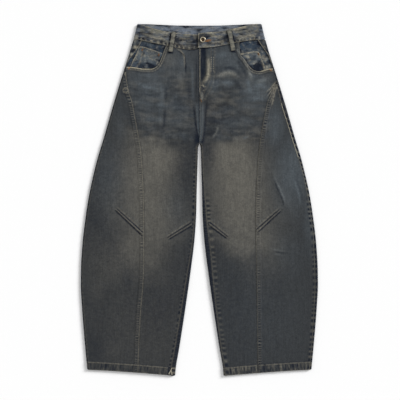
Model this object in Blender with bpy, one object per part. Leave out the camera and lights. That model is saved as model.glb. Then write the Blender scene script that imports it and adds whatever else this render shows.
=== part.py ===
"""Wide-leg jeans, laid flat with the front up.

The waist lies towards +Y and the hems towards -Y. The wearer's right is at -X and the wearer's left at +X.
The back lies on the surface at z = 0. The origin is under the middle of the whole garment.
Sizes are in millimetres and become metres when a mesh is made. "across" is the distance out from the
centre line of the garment, and "down" is the distance below the top of the waist.
"""

import math

import bmesh
import bpy
import numpy as np
from mathutils import Vector
from mathutils.geometry import delaunay_2d_cdt

# Driving dimensions, in millimetres
MM = 0.001
LENGTH = 1040.0
CROTCH = 352.0
HEM_SIDE = 1022.0
HEM_HEIGHT = 24.0
SEAM_GAP = 0.3
DENIM = 1.3
LEG_DEPTH = 4.4
BAND_CLOTH = 2.6
BAND_DEPTH = 5.5
CENTRE = 0.4
SEAM_WIDTH = 12.0
SEAM_RISE = 0.8
HEM_RISE = 0.8
FLY_RISE = 0.9
MOUTH_WIDTH = 9.0
MOUTH_RISE = 0.6
LAP_RISE = 2.9
LAP_REACH = 28.0
LAP_SLOPE = 26.0
BAND_SIDE_SEAM = 12.0
TURN_UNDER = 10.0
FRONT_PITCH = 19.0
BACK_PITCH = 60.0
EDGE_STEP = 20.0
BAND_STEP = 12.0
BACK_STEP = 40.0
FOLD_STEP = 6.0

# Half width of the garment: down, across
OUTSEAM = (
    (0, 183.6), (35, 192.0), (53, 197.0), (88, 207.4), (153, 228.1), (248, 257.0), (343, 284.4),
    (390, 298.9), (437, 311.1), (508, 326.5), (580, 337.6), (650, 345.6), (721, 349.9), (769, 350.6),
    (840, 346.9), (911, 341.5), (982, 335.1), (1022, 331.2), (1040, 329.5),
)

# Inner edge of each leg: down, across
INNER_EDGE = (
    (352, 1.6), (366, 3.8), (437, 6.1), (485, 7.7), (556, 9.2), (627, 13.5), (674, 18.5), (721, 24.6),
    (769, 31.1), (816, 37.9), (863, 44.8), (911, 52.2), (958, 59.6), (1020, 70.0), (1040, 71.6),
)

# Waistband at the front: across, top edge down, bottom edge down
FRONT_BAND = {
    "right": (
        (-24, 31.0, 67.5), (0, 31.7, 69.5), (12, 31.3, 75.0), (24, 30.8, 76.0), (54, 29.0, 72.5),
        (84, 25.3, 66.3), (114, 19.5, 60.0),
        (144, 10.7, 54.2), (167, 3.0, 49.0), (184, 0.0, 46.2), (205, 0.0, 45.6),
    ),
    "left": (
        (-3, 28.5, 70.6), (17, 26.0, 70.2), (32, 25.0, 69.0), (60, 22.6, 64.6), (80, 19.3, 61.0),
        (97, 14.8, 57.6), (123, 8.9, 52.2), (146, 3.8, 48.6), (168, 0.3, 46.8), (184, 0.0, 46.0),
        (205, 0.0, 45.6),
    ),
}

# Waistband at the back: across, top edge down, bottom edge down
BACK_BAND = (
    (0, 5.0, 46.0), (60, 4.4, 45.8), (120, 2.0, 45.7), (160, 0.3, 45.6), (184, 0, 45.6), (205, 0, 45.6),
)

# Side seam, which lies on the front: down, distance in from the folded edge
SIDE_SEAM = {
    "right": ((40, 26), (58, 24), (68, 21), (92, 11), (106, 4.5), (120, 3.3), (1040, 3.3)),
    "left": (
        (40, 25), (60, 18), (85, 8), (98, 4), (128, 4), (200, 7), (248, 10), (300, 8.5), (390, 7),
        (465, 5), (617, 5), (668, 7.5), (760, 7.5), (990, 4.5), (1040, 4.5),
    ),
}

# Inseam, which lies on the front: down, distance in from the folded edge
INSEAM = {
    "right": ((352, 3.3), (497, 3.3), (650, 5), (750, 9), (920, 12), (1040, 13)),
    "left": ((352, 3.3), (450, 5), (560, 10), (668, 14), (727, 12), (893, 6), (1006, 3.4), (1040, 3.3)),
}

# Curved front seam between the inner and outer panels: down, across
CURVED_SEAM = {
    "right": (
        (136, 218.5), (162, 215.7), (205, 207.7), (227, 199.7), (275, 190.6), (324, 181.4), (381, 172.5),
        (451, 167.8), (526, 164.8), (617, 164.3), (698, 163.8), (766, 166.3), (837, 172.2), (923, 177.8),
        (1004, 180.5), (1040, 181.0),
    ),
    "left": (
        (172, 226.6), (195, 215.7), (227, 202.5), (269, 193.2), (306, 185.9), (346, 179.9), (405, 173.5),
        (466, 170.2), (526, 167.8), (611, 166.8), (695, 168.8), (807, 170.4), (923, 171.6), (1040, 173.1),
    ),
}

# Pocket mouth, from the waistband to the side seam: across, down
POCKET_MOUTH = {
    "right": (
        (98, 64), (102.4, 74.3), (105.9, 83), (110.7, 96.8), (117.5, 113), (127, 126), (142, 132.5),
        (167, 132.3), (184, 129.5), (202, 127.4), (213.5, 126.8),
    ),
    "left": (
        (117.6, 54), (118.4, 68), (121, 88.8), (133, 104), (144, 119.5), (156, 133), (166.6, 138.5),
        (178, 139.8), (191, 136.5), (205.6, 132.6), (216.0, 132.0),
    ),
}

# Patch on the pocket facing, its top edge and then its outer edge: across, down
PATCH_EDGE = {
    "right": (
        (113, 85), (117.5, 83.4), (134, 77.5), (163, 68.4), (175, 66.6), (186, 88), (198, 112), (203.5, 126),
    ),
    "left": ((122, 87.6), (144, 84), (166, 80.8), (176.4, 83.7), (183, 101), (191, 119), (194, 134)),
}

# Knee darts, from the seam that takes them in to their tip: across, down, tip across, tip down
DARTS = {
    "right": ((166.0, 623, 248, 547), (22, 591, 94, 635)),
    "left": ((169.0, 613, 239, 550), (28, 590, 83, 632)),
}
DART_WIDTH = 8.0
DART_RISE = 1.4

# Soft folds of the front: across, down, length, width, angle from level, rise
SOFT_FOLDS = {
    "right": (
        (52, 118, 90, 15, -80, 0.8), (60, 255, 130, 26, 14, 1.0), (75, 292, 150, 24, 10, 1.1),
        (60, 330, 120, 26, 4, 1.0), (205, 470, 120, 40, -70, 0.8), (110, 640, 160, 60, 10, 0.8),
        (240, 650, 150, 60, -20, 0.8), (250, 800, 180, 60, 85, 0.6), (120, 860, 200, 60, 88, 0.6),
    ),
    "left": (
        (78, 146, 46, 16, 0, 0.9), (138, 126, 84, 14, -64, 1.0), (60, 262, 130, 26, 12, 1.0),
        (72, 300, 150, 24, 8, 1.1), (60, 336, 110, 26, 2, 0.9), (210, 205, 70, 12, -38, 0.9),
        (237, 496, 105, 18, -64, 1.3), (110, 640, 160, 60, 10, 0.8), (235, 655, 120, 40, -18, 0.9),
        (250, 810, 180, 60, 85, 0.6), (110, 860, 200, 60, 88, 0.6),
    ),
}

# Fly front, where the facing under it lifts the cloth: down, across
FLY_EDGE = ((70, 40), (120, 40), (158, 38), (178, 33), (200, 22), (215, 14), (229, 3))

# Belt loops: across and down of the upper end, across and down of the folded lower end
BELT_LOOPS = {"right": (75.0, 23.5, 85.5, 82.0), "left": (87.5, 17.5, 100.8, 78.5)}
LOOP_WIDTH = 12.0
# Share of the loop's length, height of its underside, thickness
LOOP_SECTIONS = (
    (0.00, 5.9, 2.6), (0.08, 6.4, 2.2), (0.25, 7.2, 1.8), (0.50, 7.6, 1.8), (0.70, 7.0, 1.8),
    (0.82, 6.2, 1.8), (0.90, 5.2, 2.2), (0.95, 4.8, 3.0), (1.00, 4.9, 2.8),
)

# Waist button: place, then its turned section as radius and height above the band
BUTTON_ACROSS = 10.1
BUTTON_DOWN = 47.3
BUTTON_SIDES = 28
BUTTON_SECTION = (
    (3.0, 0.0), (3.0, 1.2), (7.6, 1.4), (8.7, 2.3), (8.75, 3.2), (8.0, 4.2), (6.6, 4.7), (5.1, 4.3),
    (4.0, 3.3), (3.2, 2.2),
)

# Colours and roughness of the pieces
DENIM_FRONT = ("front_denim", (0.075, 0.085, 0.098), 0.9)
DENIM_OUTER = ("outer_denim", (0.052, 0.062, 0.073), 0.9)
DENIM_BACK = ("back_denim", (0.045, 0.055, 0.066), 0.9)
DENIM_BAND = ("band_denim", (0.085, 0.092, 0.100), 0.9)
DENIM_FACING = ("facing_denim", (0.038, 0.052, 0.072), 0.9)
BUTTON_METAL = ("button_metal", (0.42, 0.36, 0.27), 0.4)


def ease(rows, column, at):
    """Value of a table's column at a distance, on a smooth curve that doesn't overshoot its rows."""
    table = np.array([(row[0], row[column]) for row in rows], dtype=float)
    places, values = table[:, 0], table[:, 1]
    step = np.diff(places)
    slope = np.diff(values) / step
    before, after = slope[:-1], slope[1:]
    same_way = before * after > 0
    mean = np.where(same_way, 2 * before * after / np.where(same_way, before + after, 1.0), 0.0)
    tangent = np.concatenate(([slope[0]], mean, [slope[-1]]))
    at = np.clip(np.asarray(at, dtype=float), places[0], places[-1])
    span = np.clip(np.searchsorted(places, at) - 1, 0, len(step) - 1)
    share = (at - places[span]) / step[span]
    start = (1 + 2 * share) * (1 - share) ** 2 * values[span]
    end = share ** 2 * (3 - 2 * share) * values[span + 1]
    start_slope = share * (1 - share) ** 2 * step[span] * tangent[span]
    end_slope = share ** 2 * (share - 1) * step[span] * tangent[span + 1]
    return start + end + start_slope + end_slope


def smooth_step(value):
    """0 below 0, 1 above 1 and a soft rise between."""
    value = np.clip(value, 0.0, 1.0)
    return value * value * (3 - 2 * value)


def outseam(down):
    return ease(OUTSEAM, 1, down)


def inner_edge(down):
    return ease(INNER_EDGE, 1, down)


def hem_line(across):
    """How far down the hem's bottom edge is, from its side corner to its inner corner."""
    side, inner = float(outseam(HEM_SIDE)), float(inner_edge(LENGTH))
    share = np.clip((side - np.asarray(across, dtype=float)) / (side - inner), 0, 1)
    return HEM_SIDE + (LENGTH - HEM_SIDE) * share ** 1.3


def steps(start, end, step):
    """Evenly spaced values from start to end, no further apart than step."""
    return np.linspace(start, end, max(2, math.ceil(abs(end - start) / step) + 1))


def stations(start, end, step):
    """Values from start to end at whole multiples of the step, so that pieces share the places of a seam."""
    low, high = min(start, end), max(start, end)
    room = step / 5
    marks = np.arange(math.ceil((low + room) / step) * step, high - room, step)
    values = np.concatenate(([low], marks, [high]))
    return values if start < end else values[::-1]


def offset(points, distance):
    """A line of points moved sideways, to its left for a positive distance when down is taken as up."""
    points = np.asarray(points, dtype=float)
    along = np.gradient(points, axis=0)
    along /= np.linalg.norm(along, axis=1)[:, None]
    return points + distance * np.column_stack((-along[:, 1], along[:, 0]))


def round_line(points, step):
    """A smooth line through the points, sampled about every step."""
    points = np.asarray(points, dtype=float)
    run = np.concatenate(([0], np.cumsum(np.linalg.norm(np.diff(points, axis=0), axis=1))))
    at = steps(0, run[-1], step)
    columns = [ease(np.column_stack((run, points[:, axis])), 1, at) for axis in (0, 1)]
    return np.column_stack(columns)


def inside(points, outline):
    """Which points lie inside a closed outline."""
    x, y = points[:, 0], points[:, 1]
    found = np.zeros(len(points), dtype=bool)
    for (x1, y1), (x2, y2) in zip(outline, np.roll(outline, -1, axis=0)):
        if y1 != y2:
            crosses = (y1 > y) != (y2 > y)
            found ^= crosses & (x < (x2 - x1) * (y - y1) / (y2 - y1) + x1)
    return found


def reach(points, line, closed=False):
    """Distance of each point from a line of points."""
    line = np.asarray(line, dtype=float)
    ends = np.roll(line, -1, axis=0) if closed else line[1:]
    starts = line if closed else line[:-1]
    nearest = np.full(len(points), np.inf)
    for start, end in zip(starts, ends):
        way = end - start
        share = np.clip(((points - start) @ way) / max(way @ way, 1e-9), 0, 1)
        gap = np.linalg.norm(points - start - share[:, None] * way, axis=1)
        nearest = np.minimum(nearest, gap)
    return nearest


def fold_height(across, down, folds):
    """Height of the soft folds at a place on the front."""
    height = np.zeros_like(across)
    for fold_across, fold_down, length, width, angle, rise in folds:
        turn = math.radians(angle)
        dx, dy = across - fold_across, down - fold_down
        along = dx * math.cos(turn) - dy * math.sin(turn)
        sideways = dx * math.sin(turn) + dy * math.cos(turn)
        height += rise * np.exp(-(2 * along / length) ** 2 - (2 * sideways / width) ** 2)
    return height


def dart_height(across, down, side):
    """Height of the sewn knee darts, a narrow ridge that runs out at its tip."""
    height = np.zeros_like(across)
    for start_x, start_y, tip_x, tip_y in DARTS[side]:
        way = np.array((tip_x - start_x, tip_y - start_y), dtype=float)
        length = np.linalg.norm(way)
        way /= length
        dx, dy = across - start_x, down - start_y
        share = np.clip((dx * way[0] + dy * way[1]) / length, 0, 1)
        sideways = np.hypot(dx - share * length * way[0], dy - share * length * way[1])
        half = DART_WIDTH / 2 * (1 - share) + 1.0
        height += DART_RISE * (1 - 0.7 * share) * np.clip(1 - sideways / half, 0, 1)
    return height


def swell(across, down, side):
    """How far the whole wall of the front rises on its soft folds, nothing at the folded edges."""
    room = outseam(down) - across
    room = np.where(down > CROTCH, np.minimum(room, across - inner_edge(down)), room)
    return fold_height(across, down, SOFT_FOLDS[side]) * smooth_step((room - 6) / 30)


def seam_strip(distance, width, rise):
    """Height of a lapped seam at a distance from its edge: full height over its width, then flat cloth."""
    return rise * np.clip(width + 1.5 - distance, 0, 1.5) / 1.5


def relief(across, down, side, panel):
    """How far the outer face alone rises over its sewn forms."""
    height = dart_height(across, down, side)
    above_hem = hem_line(across) - down
    height = np.maximum(height, HEM_RISE * np.clip(HEM_HEIGHT + 1.5 - above_hem, 0, 1.5) / 1.5)
    if panel == "outer":
        from_seam = across - ease(CURVED_SEAM[side], 1, down)
        height = np.maximum(height, seam_strip(from_seam, SEAM_WIDTH, SEAM_RISE))
    if panel == "inner":
        from_mouth = reach(np.column_stack((across, down)), round_line(POCKET_MOUTH[side], 12))
        height = np.maximum(height, seam_strip(from_mouth, MOUTH_WIDTH, MOUTH_RISE))
    if panel == "inner" and side == "left":
        within = ease(FLY_EDGE, 1, down) - across
        on_fly = np.where(down < FLY_EDGE[-1][0], np.clip(within, 0, 2.5) / 2.5, 0.0)
        height = np.maximum(height, FLY_RISE * on_fly)
    return height


def front_skin(side, panel, thickness=DENIM, depth=LEG_DEPTH):
    """Places a front panel: outer face on top, inner face a wall's thickness below it."""
    def place(points, is_inner):
        across, down = points[:, 0], points[:, 1]
        height = depth + swell(across, down, side)
        height = height - thickness if is_inner else height + relief(across, down, side, panel)
        return np.column_stack((across, down, height))
    return place


def level_skin(bottom, thickness):
    """Places a flat piece with its underside at one height."""
    def place(points, is_inner):
        height = np.full(len(points), bottom if is_inner else bottom + thickness)
        return np.column_stack((points[:, 0], points[:, 1], height))
    return place


def lap_skin(side):
    """Places a front band. The left one rises near its end, where it lies on the right one."""
    def place(points, is_inner):
        across = points[:, 0]
        height = np.full(len(points), BAND_DEPTH - BAND_CLOTH if is_inner else BAND_DEPTH)
        if side == "left":
            height += LAP_RISE * (1 - smooth_step((across - LAP_REACH) / LAP_SLOPE))
        return np.column_stack((across, points[:, 1], height))
    return place


def unroll(across, down, depth):
    """Where a place on the front lies on cloth that is opened flat round the folded side edge."""
    radius = depth / 2
    edge = outseam(down)
    return edge - radius + math.pi * radius + (edge - radius - across)


def unroll_inner(across, down, depth):
    """The same round the folded inner edge of a leg."""
    radius = depth / 2
    edge = inner_edge(down)
    return edge + radius - math.pi * radius - (across - edge - radius)


def wrapped_skin(thickness, depth, side, legs=True):
    """Places a piece that lies under and turns up round the folded edges on to the front."""
    radius = depth / 2

    def place(points, is_inner):
        flat, down = points[:, 0], points[:, 1]
        wall = thickness if is_inner else 0.0
        edge = outseam(down)
        past = flat - (edge - radius)
        turn = np.clip(past / radius, 0, math.pi)
        run = np.clip(past - math.pi * radius, 0, None)
        across = np.where(past > 0, edge - radius + (radius - wall) * np.sin(turn) - run, flat)
        height = radius - (radius - wall) * np.cos(turn)
        if legs:
            inner = inner_edge(down)
            below = (inner + radius - flat) * (down > CROTCH)
            turn = np.clip(below / radius, 0, math.pi)
            run = np.clip(below - math.pi * radius, 0, None)
            turned = inner + radius - (radius - wall) * np.sin(turn) + run
            across = np.where(below > 0, turned, across)
            height = np.where(below > 0, radius - (radius - wall) * np.cos(turn), height)
            on_front = height > radius * 1.99 - wall
            height = height + np.where(on_front, swell(across, down, side), 0.0)
        return np.column_stack((across, down, height))
    return place


def slab(name, side, outline, skin, finish, pitch, lines=()):
    """Makes one closed piece of cloth.

    The outline is filled with triangles that follow the lines, and skin lays its two faces out.
    """
    outline = np.asarray(outline, dtype=float)
    points = [outline]
    edges = [(i, (i + 1) % len(outline)) for i in range(len(outline))]
    kept_lines = []
    for line in lines:
        line = np.asarray(line, dtype=float)
        keep = inside(line, outline) & (reach(line, outline, closed=True) > 1.0)
        start = sum(len(part) for part in points)
        points.append(line[keep])
        where = np.flatnonzero(keep)
        edges += [(start + i, start + i + 1) for i in range(len(where) - 1) if where[i + 1] == where[i] + 1]
        if len(where) > 1:
            kept_lines.append(line[keep])
    low, high = outline.min(axis=0), outline.max(axis=0)
    grid_x, grid_y = np.meshgrid(steps(low[0], high[0], pitch), steps(low[1], high[1], pitch))
    grid = np.column_stack((grid_x.ravel(), grid_y.ravel()))
    grid = grid[inside(grid, outline)]
    grid = grid[reach(grid, outline, closed=True) > pitch * 0.35]
    for line in kept_lines:
        grid = grid[reach(grid, line) > pitch * 0.3]
    points.append(grid)
    flat = [Vector(point) for point in np.concatenate(points)]
    found, _, faces, _, _, _ = delaunay_2d_cdt(flat, edges, [], 1, 1e-4)
    found = np.array([tuple(point) for point in found])
    used = sorted({corner for face in faces for corner in face})
    order = {corner: i for i, corner in enumerate(used)}
    found = found[used]
    faces = [[order[corner] for corner in face] for face in faces]
    count = len(found)
    places = np.concatenate((skin(found, False), skin(found, True)))
    across_sign = -1.0 if side == "right" else 1.0
    vertices = np.column_stack((places[:, 0] * across_sign, LENGTH / 2 - places[:, 1], places[:, 2])) * MM
    sides = {(start, end) for face in faces for start, end in zip(face, face[1:] + face[:1])}
    rim = sorted((start, end) for start, end in sides if (end, start) not in sides)
    walls = [(start, end, end + count, start + count) for start, end in rim]
    shell = [tuple(face) for face in faces]
    shell += [tuple(corner + count for corner in reversed(face)) for face in faces]
    return solid(name, vertices, shell + walls, finish)


def solid(name, vertices, faces, finish):
    """Makes an object of a closed mesh, its faces turned outward, with its own material."""
    mesh = bpy.data.meshes.new(name)
    mesh.from_pydata([tuple(vertex) for vertex in vertices], [], faces)
    shape = bmesh.new()
    shape.from_mesh(mesh)
    bmesh.ops.triangulate(shape, faces=[face for face in shape.faces if len(face.verts) > 3])
    bmesh.ops.recalc_face_normals(shape, faces=shape.faces)
    shape.to_mesh(mesh)
    shape.free()
    mesh.shade_smooth()
    mesh.set_sharp_from_angle(angle=math.radians(40))
    mesh.materials.append(material(*finish))
    piece = bpy.data.objects.new(name, mesh)
    bpy.context.collection.objects.link(piece)
    return piece


def material(name, colour, roughness):
    """A Principled material of one colour, made once for each name."""
    found = bpy.data.materials.get(name)
    if found is None:
        found = bpy.data.materials.new(name)
        found.use_nodes = True
        shader = found.node_tree.nodes["Principled BSDF"]
        shader.inputs["Base Color"].default_value = (*colour, 1.0)
        shader.inputs["Roughness"].default_value = roughness
        shader.inputs["Metallic"].default_value = 1.0 if name == "button_metal" else 0.0
    return found


def side_seam_line(side, start, step=EDGE_STEP):
    """The side seam on the front, from a distance down to the hem: across, down."""
    end = float(hem_line(outseam(HEM_SIDE)))
    down = stations(start, end, step)
    return np.column_stack((outseam(down) - ease(SIDE_SEAM[side], 1, down), down))


def inseam_line(side, start, step=EDGE_STEP):
    """The inseam on the front, from a distance down to the hem."""
    end = float(hem_line(inner_edge(LENGTH)))
    down = stations(start, end, step)
    return np.column_stack((inner_edge(down) + ease(INSEAM[side], 1, down), down))


def curved_seam_line(side, start, step=EDGE_STEP):
    """The curved front seam, from a distance down to the hem."""
    end = float(hem_line(ease(CURVED_SEAM[side], 1, LENGTH)))
    down = stations(start, end, step)
    return np.column_stack((ease(CURVED_SEAM[side], 1, down), down))


def hem_points(start, end, step=EDGE_STEP):
    """Points along the bottom of the hem between two distances across, without its ends."""
    across = stations(start, end, step)[1:-1]
    return np.column_stack((across, hem_line(across)))


def seam_top(side):
    """How far down the side seam each curved front seam starts."""
    return CURVED_SEAM[side][0][0]


def build_front_inner(side):
    """The panel from the centre front to the curved seam, cut away at the pocket mouth."""
    gap = SEAM_GAP
    mouth = round_line(POCKET_MOUTH[side], 12)
    mouth_top = float(mouth[0, 0])
    across = stations(CENTRE, mouth_top, BAND_STEP)
    top = np.column_stack((across, ease(FRONT_BAND[side], 2, across) + gap))
    mouth[0] = top[-1]
    seam_start = seam_top(side)
    side_down = stations(float(mouth[-1, 1]), seam_start, EDGE_STEP)[1:]
    side_edge = np.column_stack((outseam(side_down) - ease(SIDE_SEAM[side], 1, side_down) - gap, side_down))
    mouth[-1, 0] = float(outseam(mouth[-1, 1]) - ease(SIDE_SEAM[side], 1, mouth[-1, 1])) - gap
    seam = curved_seam_line(side, seam_start + 8) - (gap, 0)
    inseam = inseam_line(side, CROTCH + 8)[::-1] + (gap, 0)
    hem = hem_points(seam[-1, 0], inseam[0, 0])
    centre_down = steps(CROTCH - 3, float(top[0, 1]), EDGE_STEP)[:-1]
    centre = np.column_stack((np.full(len(centre_down), CENTRE), centre_down))
    outline = np.vstack((top, mouth[1:], side_edge, seam, hem, inseam, centre))
    mouth_line = round_line(POCKET_MOUTH[side], 12)
    lines = [hem_ridge(float(seam[-1, 0]), float(inseam[0, 0]))]
    lines += [offset(mouth_line, MOUTH_WIDTH), offset(mouth_line, MOUTH_WIDTH + 1.5)]
    lines += dart_lines(side, DARTS[side][1])
    if side == "left":
        fly = round_line([(across, down) for down, across in FLY_EDGE], 14)
        lines += [fly, offset(fly, 2.5)]
    slab(f"front_inner_{side}", side, outline, front_skin(side, "inner"), DENIM_FRONT, FRONT_PITCH, lines)


def hem_ridge(start, end):
    """The line along the front where the turned hem ends."""
    across = steps(start, end, EDGE_STEP)
    return np.column_stack((across, hem_line(across) - HEM_HEIGHT))


def dart_lines(side, dart):
    """The crest and the two feet of a knee dart."""
    start, tip = np.array(dart[:2], dtype=float), np.array(dart[2:], dtype=float)
    way = (tip - start) / np.linalg.norm(tip - start)
    normal = np.array((-way[1], way[0]))
    share = steps(0.04, 0.98, 0.12)[:, None]
    crest = start + share * (tip - start)
    half = DART_WIDTH / 2 * (1 - share) + 1.0
    return [crest, crest + half * normal, crest - half * normal]


def build_front_outer(side):
    """The panel from the curved seam to the side seam, which starts as a point below the pocket."""
    gap = SEAM_GAP
    start = seam_top(side) + 14
    side_edge = side_seam_line(side, start)[::-1] - (gap, 0)
    seam = curved_seam_line(side, start)
    hem = hem_points(seam[-1, 0], side_edge[0, 0])
    outline = np.vstack((seam, hem, side_edge))
    lines = [hem_ridge(float(seam[-1, 0]), float(side_edge[0, 0]))]
    lines += [curved_seam_line(side, start + 30) + (SEAM_WIDTH, 0)]
    lines += [curved_seam_line(side, start + 30) + (SEAM_WIDTH + 1.5, 0)]
    lines += dart_lines(side, DARTS[side][0])
    slab(f"front_outer_{side}", side, outline, front_skin(side, "outer"), DENIM_OUTER, FRONT_PITCH, lines)


def build_back(side):
    """The back of one half, from the waistband to the hem, folded up round both edges of the leg."""
    gap, depth, radius = SEAM_GAP, LEG_DEPTH, LEG_DEPTH / 2
    edge_top = float(outseam(46))
    across = stations(CENTRE, edge_top - radius, BACK_STEP)
    top = np.column_stack((across, ease(BACK_BAND, 2, across) + gap))
    seam_across = float(outseam(50) - ease(SIDE_SEAM[side], 1, 50))
    front_across = stations(edge_top - radius, seam_across, FOLD_STEP)
    front_down = ease(FRONT_BAND[side], 2, front_across) + gap
    front_top = np.column_stack((unroll(front_across, front_down, depth), front_down))
    seam_start = float(front_down[-1])
    down = stations(seam_start, float(hem_line(outseam(HEM_SIDE))), EDGE_STEP)
    seam_place = outseam(down) - ease(SIDE_SEAM[side], 1, down)
    side_edge = np.column_stack((unroll(seam_place, down, depth), down))
    hem_side = float(outseam(HEM_SIDE)) - radius
    hem_inner = float(inner_edge(LENGTH)) + radius
    hem = hem_points(hem_side, hem_inner, 40)
    hem = np.vstack(((hem_side, hem_line(hem_side)), hem, (hem_inner, LENGTH)))
    down = stations(LENGTH, CROTCH + 11, EDGE_STEP)
    inseam_place = inner_edge(down) + ease(INSEAM[side], 1, down)
    inner = np.column_stack((unroll_inner(inseam_place, down, depth), down))
    centre_down = steps(CROTCH, 46 + 2 * gap, 50)[:-1]
    centre = np.column_stack((np.full(len(centre_down), CENTRE), centre_down))
    outline = np.vstack((top, front_top, side_edge[1:], hem, inner, centre))
    lines = fold_lines(side, depth, 30)
    skin = wrapped_skin(DENIM, depth, side)
    slab(f"back_panel_{side}", side, outline, skin, DENIM_BACK, BACK_PITCH, lines)


def fold_lines(side, depth, step):
    """Lines along the two folded edges of a leg, one for each eighth of a full turn."""
    radius = depth / 2
    lines = []
    for share in (0.0, 0.25, 0.5, 0.75, 1.0):
        down = steps(48, HEM_SIDE, step)
        lines.append(np.column_stack((outseam(down) - radius + share * math.pi * radius, down)))
        down = steps(CROTCH + 11, LENGTH, step)
        lines.append(np.column_stack((inner_edge(down) + radius - share * math.pi * radius, down)))
    return lines


def build_facing(side):
    """The cloth that shows inside the pocket mouth, and reaches a little under the edges round it."""
    mouth = round_line(POCKET_MOUTH[side], 12)
    under = offset(mouth, TURN_UNDER)
    gap = SEAM_GAP
    under[:, 1] = np.maximum(under[:, 1], ease(FRONT_BAND[side], 2, under[:, 0]) + gap)
    side_end = float(mouth[-1, 1]) + TURN_UNDER
    under = under[under[:, 0] < float(outseam(side_end)) - 12]
    down = steps(52, side_end, 14)
    limit = outseam(down) - LEG_DEPTH / 2 - 1.5
    side_edge = np.column_stack((np.minimum(outseam(down) - ease(SIDE_SEAM[side], 1, down) + 2, limit), down))
    across = stations(float(under[0, 0]), float(side_edge[0, 0]), BAND_STEP)
    top = np.column_stack((across, ease(FRONT_BAND[side], 2, across) + gap))
    outline = np.vstack((top, side_edge[1:], under[::-1][:-1]))
    bottom = DENIM + SEAM_GAP
    slab(f"pocket_facing_{side}", side, outline, level_skin(bottom, 1.2), DENIM_FACING, 60)


def build_patch(side, name):
    """The small pocket sewn on the facing, which runs down to the pocket mouth."""
    edge = np.array(PATCH_EDGE[side], dtype=float)
    mouth = offset(round_line(POCKET_MOUTH[side], 8), -0.8)
    first, last = edge[0], edge[-1]
    along = mouth[(mouth[:, 1] > first[1] + 3) & (mouth[:, 0] < last[0] - 3)]
    outline = np.vstack((edge, along[::-1]))
    bottom = DENIM + SEAM_GAP + 1.2 + SEAM_GAP
    slab(name, side, outline, level_skin(bottom, 1.1), DENIM_FACING, 40)


def build_back_band():
    """The back of the waistband, folded up round both sides of the waist on to the front."""
    depth, radius = BAND_DEPTH, BAND_DEPTH / 2
    halves = []
    for side in ("left", "right"):
        top_edge = float(outseam(0))
        seam_top_place, seam_low = float(outseam(0)) - BAND_SIDE_SEAM, float(outseam(45)) - BAND_SIDE_SEAM
        across = stations(0, top_edge - radius, BACK_STEP)
        top = np.column_stack((across, ease(BACK_BAND, 1, across)))
        front = stations(top_edge - radius, seam_top_place, FOLD_STEP)
        down = ease(FRONT_BAND[side], 1, front)
        front_top = np.column_stack((unroll(front, down, depth), down))
        down = stations(float(down[-1]), float(ease(FRONT_BAND[side], 2, seam_low)), BAND_STEP)
        seam = np.column_stack((unroll(outseam(down) - BAND_SIDE_SEAM, down, depth), down))
        low_edge = float(outseam(45.6))
        front = stations(seam_low, low_edge - radius, FOLD_STEP)
        down = ease(FRONT_BAND[side], 2, front)
        front_low = np.column_stack((unroll(front, down, depth), down))
        across = stations(low_edge - radius, 0, BACK_STEP)
        low = np.column_stack((across, ease(BACK_BAND, 2, across)))
        half = np.vstack((top, front_top, seam[1:-1], front_low, low))
        halves.append(half * (1, 1) if side == "left" else (half * (-1, 1))[::-1])
    outline = np.vstack((halves[0], halves[1][1:-1]))
    keep = np.linalg.norm(outline - np.roll(outline, 1, axis=0), axis=1) > 0.2
    outline = outline[keep]
    skin_half = wrapped_skin(BAND_CLOTH, depth, "left", legs=False)

    def skin(points, is_inner):
        sign = np.where(points[:, 0] < 0, -1.0, 1.0)
        placed = skin_half(np.column_stack((np.abs(points[:, 0]), points[:, 1])), is_inner)
        placed[:, 0] *= sign
        return placed

    lines = []
    for share in (0.0, 0.25, 0.5, 0.75, 1.0):
        down = steps(2, 44, 14)
        fold = np.column_stack((outseam(down) - radius + share * math.pi * radius, down))
        lines += [fold, fold * (-1, 1)]
    slab("waistband_back", "left", outline, skin, DENIM_BAND, 60, lines)


def build_front_band(side):
    """One half of the waistband at the front, from its side seam to its end at the centre front."""
    gap = SEAM_GAP
    end = -LAP_REACH + 4 if side == "right" else -3.0
    down = stations(0.6, 45.8, BAND_STEP)
    side_edge = np.column_stack((outseam(down) - BAND_SIDE_SEAM - gap, down))
    across = stations(end, float(side_edge[0, 0]), BAND_STEP)
    rows = FRONT_BAND[side]
    top = np.column_stack((across, ease(rows, 1, across)))
    low_across = stations(float(side_edge[-1, 0]), end, BAND_STEP)
    low = np.column_stack((low_across, ease(rows, 2, low_across)))
    outline = np.vstack((top, side_edge[1:-1], low))
    keep = np.linalg.norm(outline - np.roll(outline, 1, axis=0), axis=1) > 0.5
    lines = []
    if side == "left":
        for share in (0.0, 0.25, 0.5, 0.75, 1.0):
            place = LAP_REACH + LAP_SLOPE * share
            ends = (float(ease(rows, 1, place)) + 2, float(ease(rows, 2, place)) - 2)
            lines.append(np.column_stack((np.full(4, place), steps(*ends, 14)[:4])))
    slab(f"waistband_front_{side}", side, outline[keep], lap_skin(side), DENIM_BAND, 30, lines)


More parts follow.
